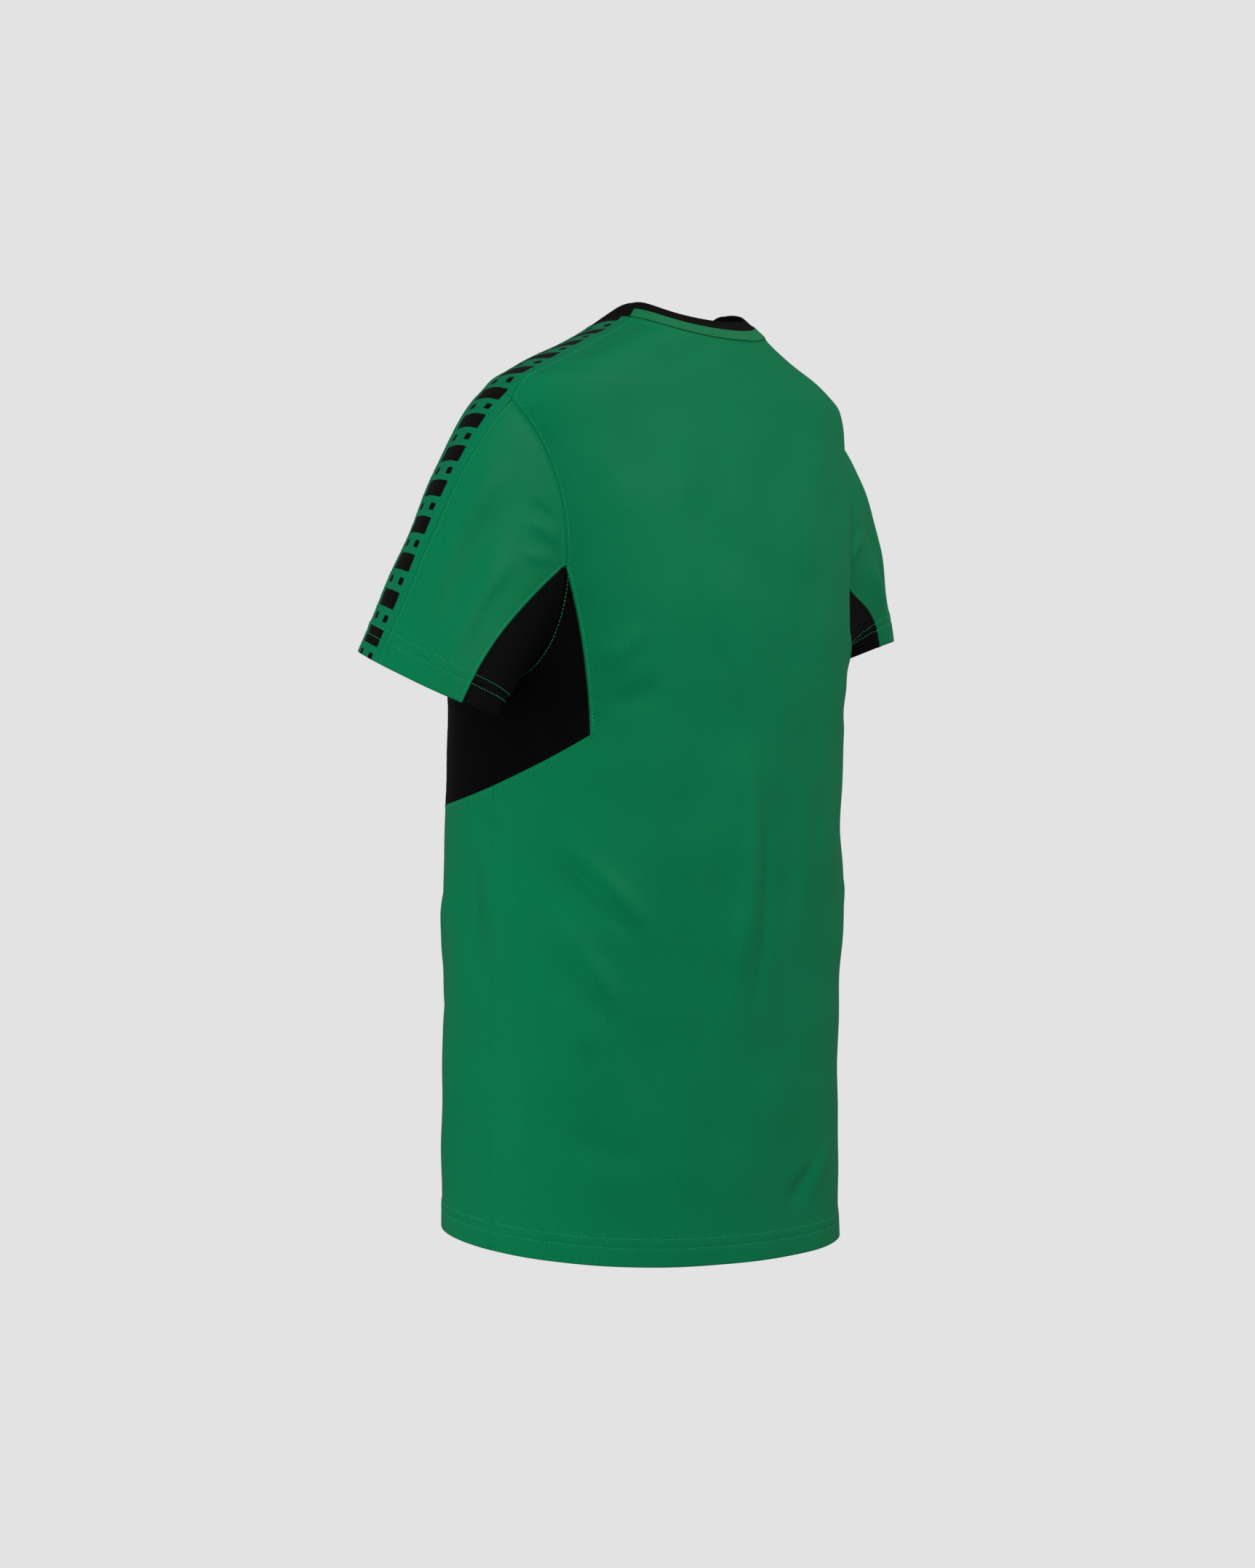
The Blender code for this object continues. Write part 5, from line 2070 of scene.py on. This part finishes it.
@dataclass
class NeckTape:
    """The light tape over the collar's foot at the back, with its zigzag row."""

    collar: Collar
    width: float = 11.4 * MM
    foot: float = -0.5 * MM
    lift: float = 1.0 * MM
    wall: float = 0.7 * MM
    step: float = 1.0 * MM
    shares: tuple[float, ...] = (0, 0.015, 0.05, 0.12, 0.25, 0.4, 0.6, 0.75, 0.88, 0.95, 0.985, 1)
    edge_reach: float = 0.8 * MM
    edge_drop: float = 0.55 * MM
    edge_thinning: float = 0.5 * MM
    row_dip: float = 0.12 * MM
    row_at: Span = (0.16, 0.06)
    wave_height: float = 0.10 * MM
    wave_length: float = 6.5 * MM
    wave_at: Span = (0.1, 0.2)
    end_drop: float = 0.5 * MM
    stitch: Stitch = Stitch(length=2.2 * MM, pitch=1.9 * MM, radius=0.17 * MM)
    stitch_rise: float = 0.5 * MM
    stitch_sink: float = 0.28 * MM
    slant: float = math.radians(52)

    def layers(self, foot: Array, up: Array, face: Array) -> tuple[Array, Array]:
        """The tape's outer and inner layer.

        Args:
            foot: The collar's foot along the tape.
            up: The way up the collar there.
            face: The way out of it.

        Returns:
            The points of both layers, as grids.
        """
        share = np.array(self.shares)
        edge = np.minimum(share, 1 - share) * self.width / self.edge_reach
        rounded = 1 - np.sqrt(1 - np.clip(1 - edge, 0, 0.99) ** 2)
        out = self.lift - self.edge_drop * rounded - self.row_dip * bump(share, *self.row_at)
        turn = run_lengths(foot) * TURN / self.wave_length
        wave = self.wave_height * np.sin(turn)[:, None] * bump(share, *self.wave_at)
        number = np.arange(len(foot))
        ends = smoothstep(np.minimum(number, number[::-1]) / 2)
        rise = self.foot + self.width * share
        outer = foot[:, None] + up[:, None] * rise[None, :, None] + face[:, None] * (out + wave)[..., None]
        outer -= face[:, None] * (self.end_drop * (1 - ends))[:, None, None]
        walls = self.wall - self.edge_thinning * rounded
        return outer, outer - face[:, None] * walls[None, :, None]

    def build(self, finishes: Finishes) -> None:
        """Makes the tape and its stitches."""
        s = SEAMS
        places = BODY.traced(s.neck, math.pi - s.tape_neck_back, s.tape_neck_back, self.step)
        foot, up, face, _ = self.collar.frame(places)
        outer, inner = self.layers(foot, up, face)
        faces = grid_faces(*outer.shape[:2], False)
        points, faces = closed_shell(outer.reshape(-1, 3), inner.reshape(-1, 3), faces)
        run = run_lengths(foot)
        chart = paired(run[:, None], self.foot + self.width * np.array(self.shares)).reshape(-1, 2)
        item = mesh_object("neck_tape_cloth", points, faces, finishes.by_slot[Slot.NECK_TAPE],
                           np.concatenate([chart, chart]))
        length = float(run[-1])
        declare_cloth(item, "neck_tape", (length, self.width), length * self.width)
        stitching = Stitching("neck_stitches", self.stitch)
        low = foot + up * (self.foot + self.stitch_rise) + face * (self.lift - self.stitch_sink)
        stitching.row(low, face, self.slant)
        stitching.make_up(finishes.dark_thread, Slot.NECK_TAPE)


# ---- The studio


@dataclass(frozen=True)
class Softbox:
    """A soft square light, placed from the middle of the jersey. It may give no sheen."""

    name: str
    place: tuple[float, float, float]
    size: float
    power: float
    sheen: bool = True


@dataclass(frozen=True)
class Studio:
    """The camera, the lights, the pale floor and its rounded rise to the backdrop.

    Softboxes are placed by how far they stand to the camera's right, above the jersey's
    middle, and towards the camera.
    """

    camera_place: tuple[float, float, float] = (2.939, 2.080, -0.362)
    target: tuple[float, float, float] = (0.0264, -0.0363, -0.362)
    lens: float = 105.2
    sensor: float = 36.0
    seen: Span = (0.05, 100.0)
    floor_height: float = -1.25
    floor_radius: float = 6.0
    rise_radius: float = 3.0
    wall_height: float = 7.0
    floor_rings: tuple[float, ...] = (0.25, 0.5, 0.75)
    rise_rings: int = 13
    sides: int = 96
    paper: float = 0.768
    paper_grain: float = 0.002
    paper_specks: float = 90.0
    ambient: float = 0.21
    lights: tuple[Softbox, ...] = (
        Softbox("key", (2.29, 1.99, 0.61), 1.5, 46.0),
        Softbox("fill", (-0.5, 0.7, 3.9), 1.6, 73.0, False),
        Softbox("side", (-2.8, 0.27, 1.2), 1.5, 34.0, False),
    )

    @property
    def axes(self) -> tuple[Vector, Vector, Vector]:
        """The camera's right, its up and the way towards it."""
        back = (Vector(self.camera_place) - Vector(self.target)).normalized()
        right = Vector((0, 0, 1)).cross(back).normalized()
        return right, back.cross(right), back

    def camera(self) -> None:
        """Places the camera."""
        data = bpy.data.cameras.new("camera")
        data.lens, data.sensor_width, data.sensor_fit = self.lens, self.sensor, "AUTO"
        data.clip_start, data.clip_end = self.seen
        item = bpy.data.objects.new("camera", data)
        item.matrix_world = Matrix.Translation(self.camera_place) @ Matrix(self.axes).transposed().to_4x4()
        bpy.context.scene.collection.objects.link(item)
        bpy.context.scene.camera = item

    def light(self) -> None:
        """Places the softboxes and sets the even light of the room."""
        for box in self.lights:
            data = bpy.data.lights.new(box.name, "AREA")
            data.shape, data.size, data.energy = "SQUARE", box.size, box.power
            item = bpy.data.objects.new(box.name, data)
            item.visible_glossy = box.sheen
            off = sum((way * reach for way, reach in zip(self.axes, box.place)), Vector((0, 0, 0)))
            item.location = Vector(self.target) + off
            item.rotation_mode = "QUATERNION"
            item.rotation_quaternion = off.to_track_quat("Z", "Y")
            bpy.context.scene.collection.objects.link(item)
        world = bpy.data.worlds.new("room")
        world.use_nodes = True
        world.node_tree.nodes["Background"].inputs["Color"].default_value = (1, 1, 1, 1)
        world.node_tree.nodes["Background"].inputs["Strength"].default_value = self.ambient
        bpy.context.scene.world = world

    def paper_material(self) -> Material:
        """Evenly lit pale paper with the faintest grain."""
        shader = Shader("pale_paper")
        tones = (self.paper * (1 - self.paper_grain), self.paper * (1 + self.paper_grain))
        tone = shader.range(shader.specks(self.paper_specks), (0.0, 1.0), tones)
        grey = shader.node("ShaderNodeCombineColor", Red=tone, Green=tone, Blue=tone).outputs[0]
        glow = shader.node("ShaderNodeEmission", Color=grey, Strength=1.0)
        output = next(node for node in shader.tree.nodes if node.type == "OUTPUT_MATERIAL")
        shader.feed(output.inputs["Surface"], glow.outputs[0])
        return shader.material

    def floor(self) -> None:
        """Makes the floor and backdrop, a wide dish that only the camera sees."""
        flat, rise, low, sides = self.floor_radius, self.rise_radius, self.floor_height, self.sides
        profile = [(flat * share, low) for share in self.floor_rings]
        profile += [(flat + rise * math.sin(t), low + rise * (1 - math.cos(t)))
                    for t in np.linspace(0, QUARTER, self.rise_rings)]
        profile.append((flat + rise, self.wall_height))
        around = np.arange(sides) * TURN / sides
        points = [(0.0, 0.0, low)]
        points += [(r * math.cos(a), r * math.sin(a), z) for r, z in profile for a in around]
        faces = [[0, 1 + i, 1 + (i + 1) % sides] for i in range(sides)]
        for ring in range(1, 1 + sides * (len(profile) - 1), sides):
            faces += [[ring + i, ring + sides + i, ring + sides + (i + 1) % sides, ring + (i + 1) % sides]
                      for i in range(sides)]
        item = mesh_object("studio_floor", np.array(points), faces, self.paper_material())
        item.visible_diffuse = item.visible_glossy = item.visible_shadow = False

    def build(self) -> None:
        """Builds the studio."""
        self.camera()
        self.light()
        self.floor()
        bpy.context.scene.view_settings.view_transform = "Standard"


def main() -> None:
    """Builds the studio and the jersey, piece by piece."""
    logging.basicConfig(level=logging.INFO, format="%(name)s: %(message)s")
    Studio().build()
    LOG.info("studio built")
    finishes = Finishes(Palette())
    body = Body()
    body.build(finishes)
    LOG.info("body built")
    for name in SLEEVES:
        Sleeve(name, body.relief).build(finishes)
        LOG.info("%s sleeve built", name)
    collar = Collar()
    collar.build(finishes)
    LOG.info("collar built")
    NeckTape(collar).build(finishes)
    LOG.info("neck tape built")


if __name__ == "__main__":
    main()
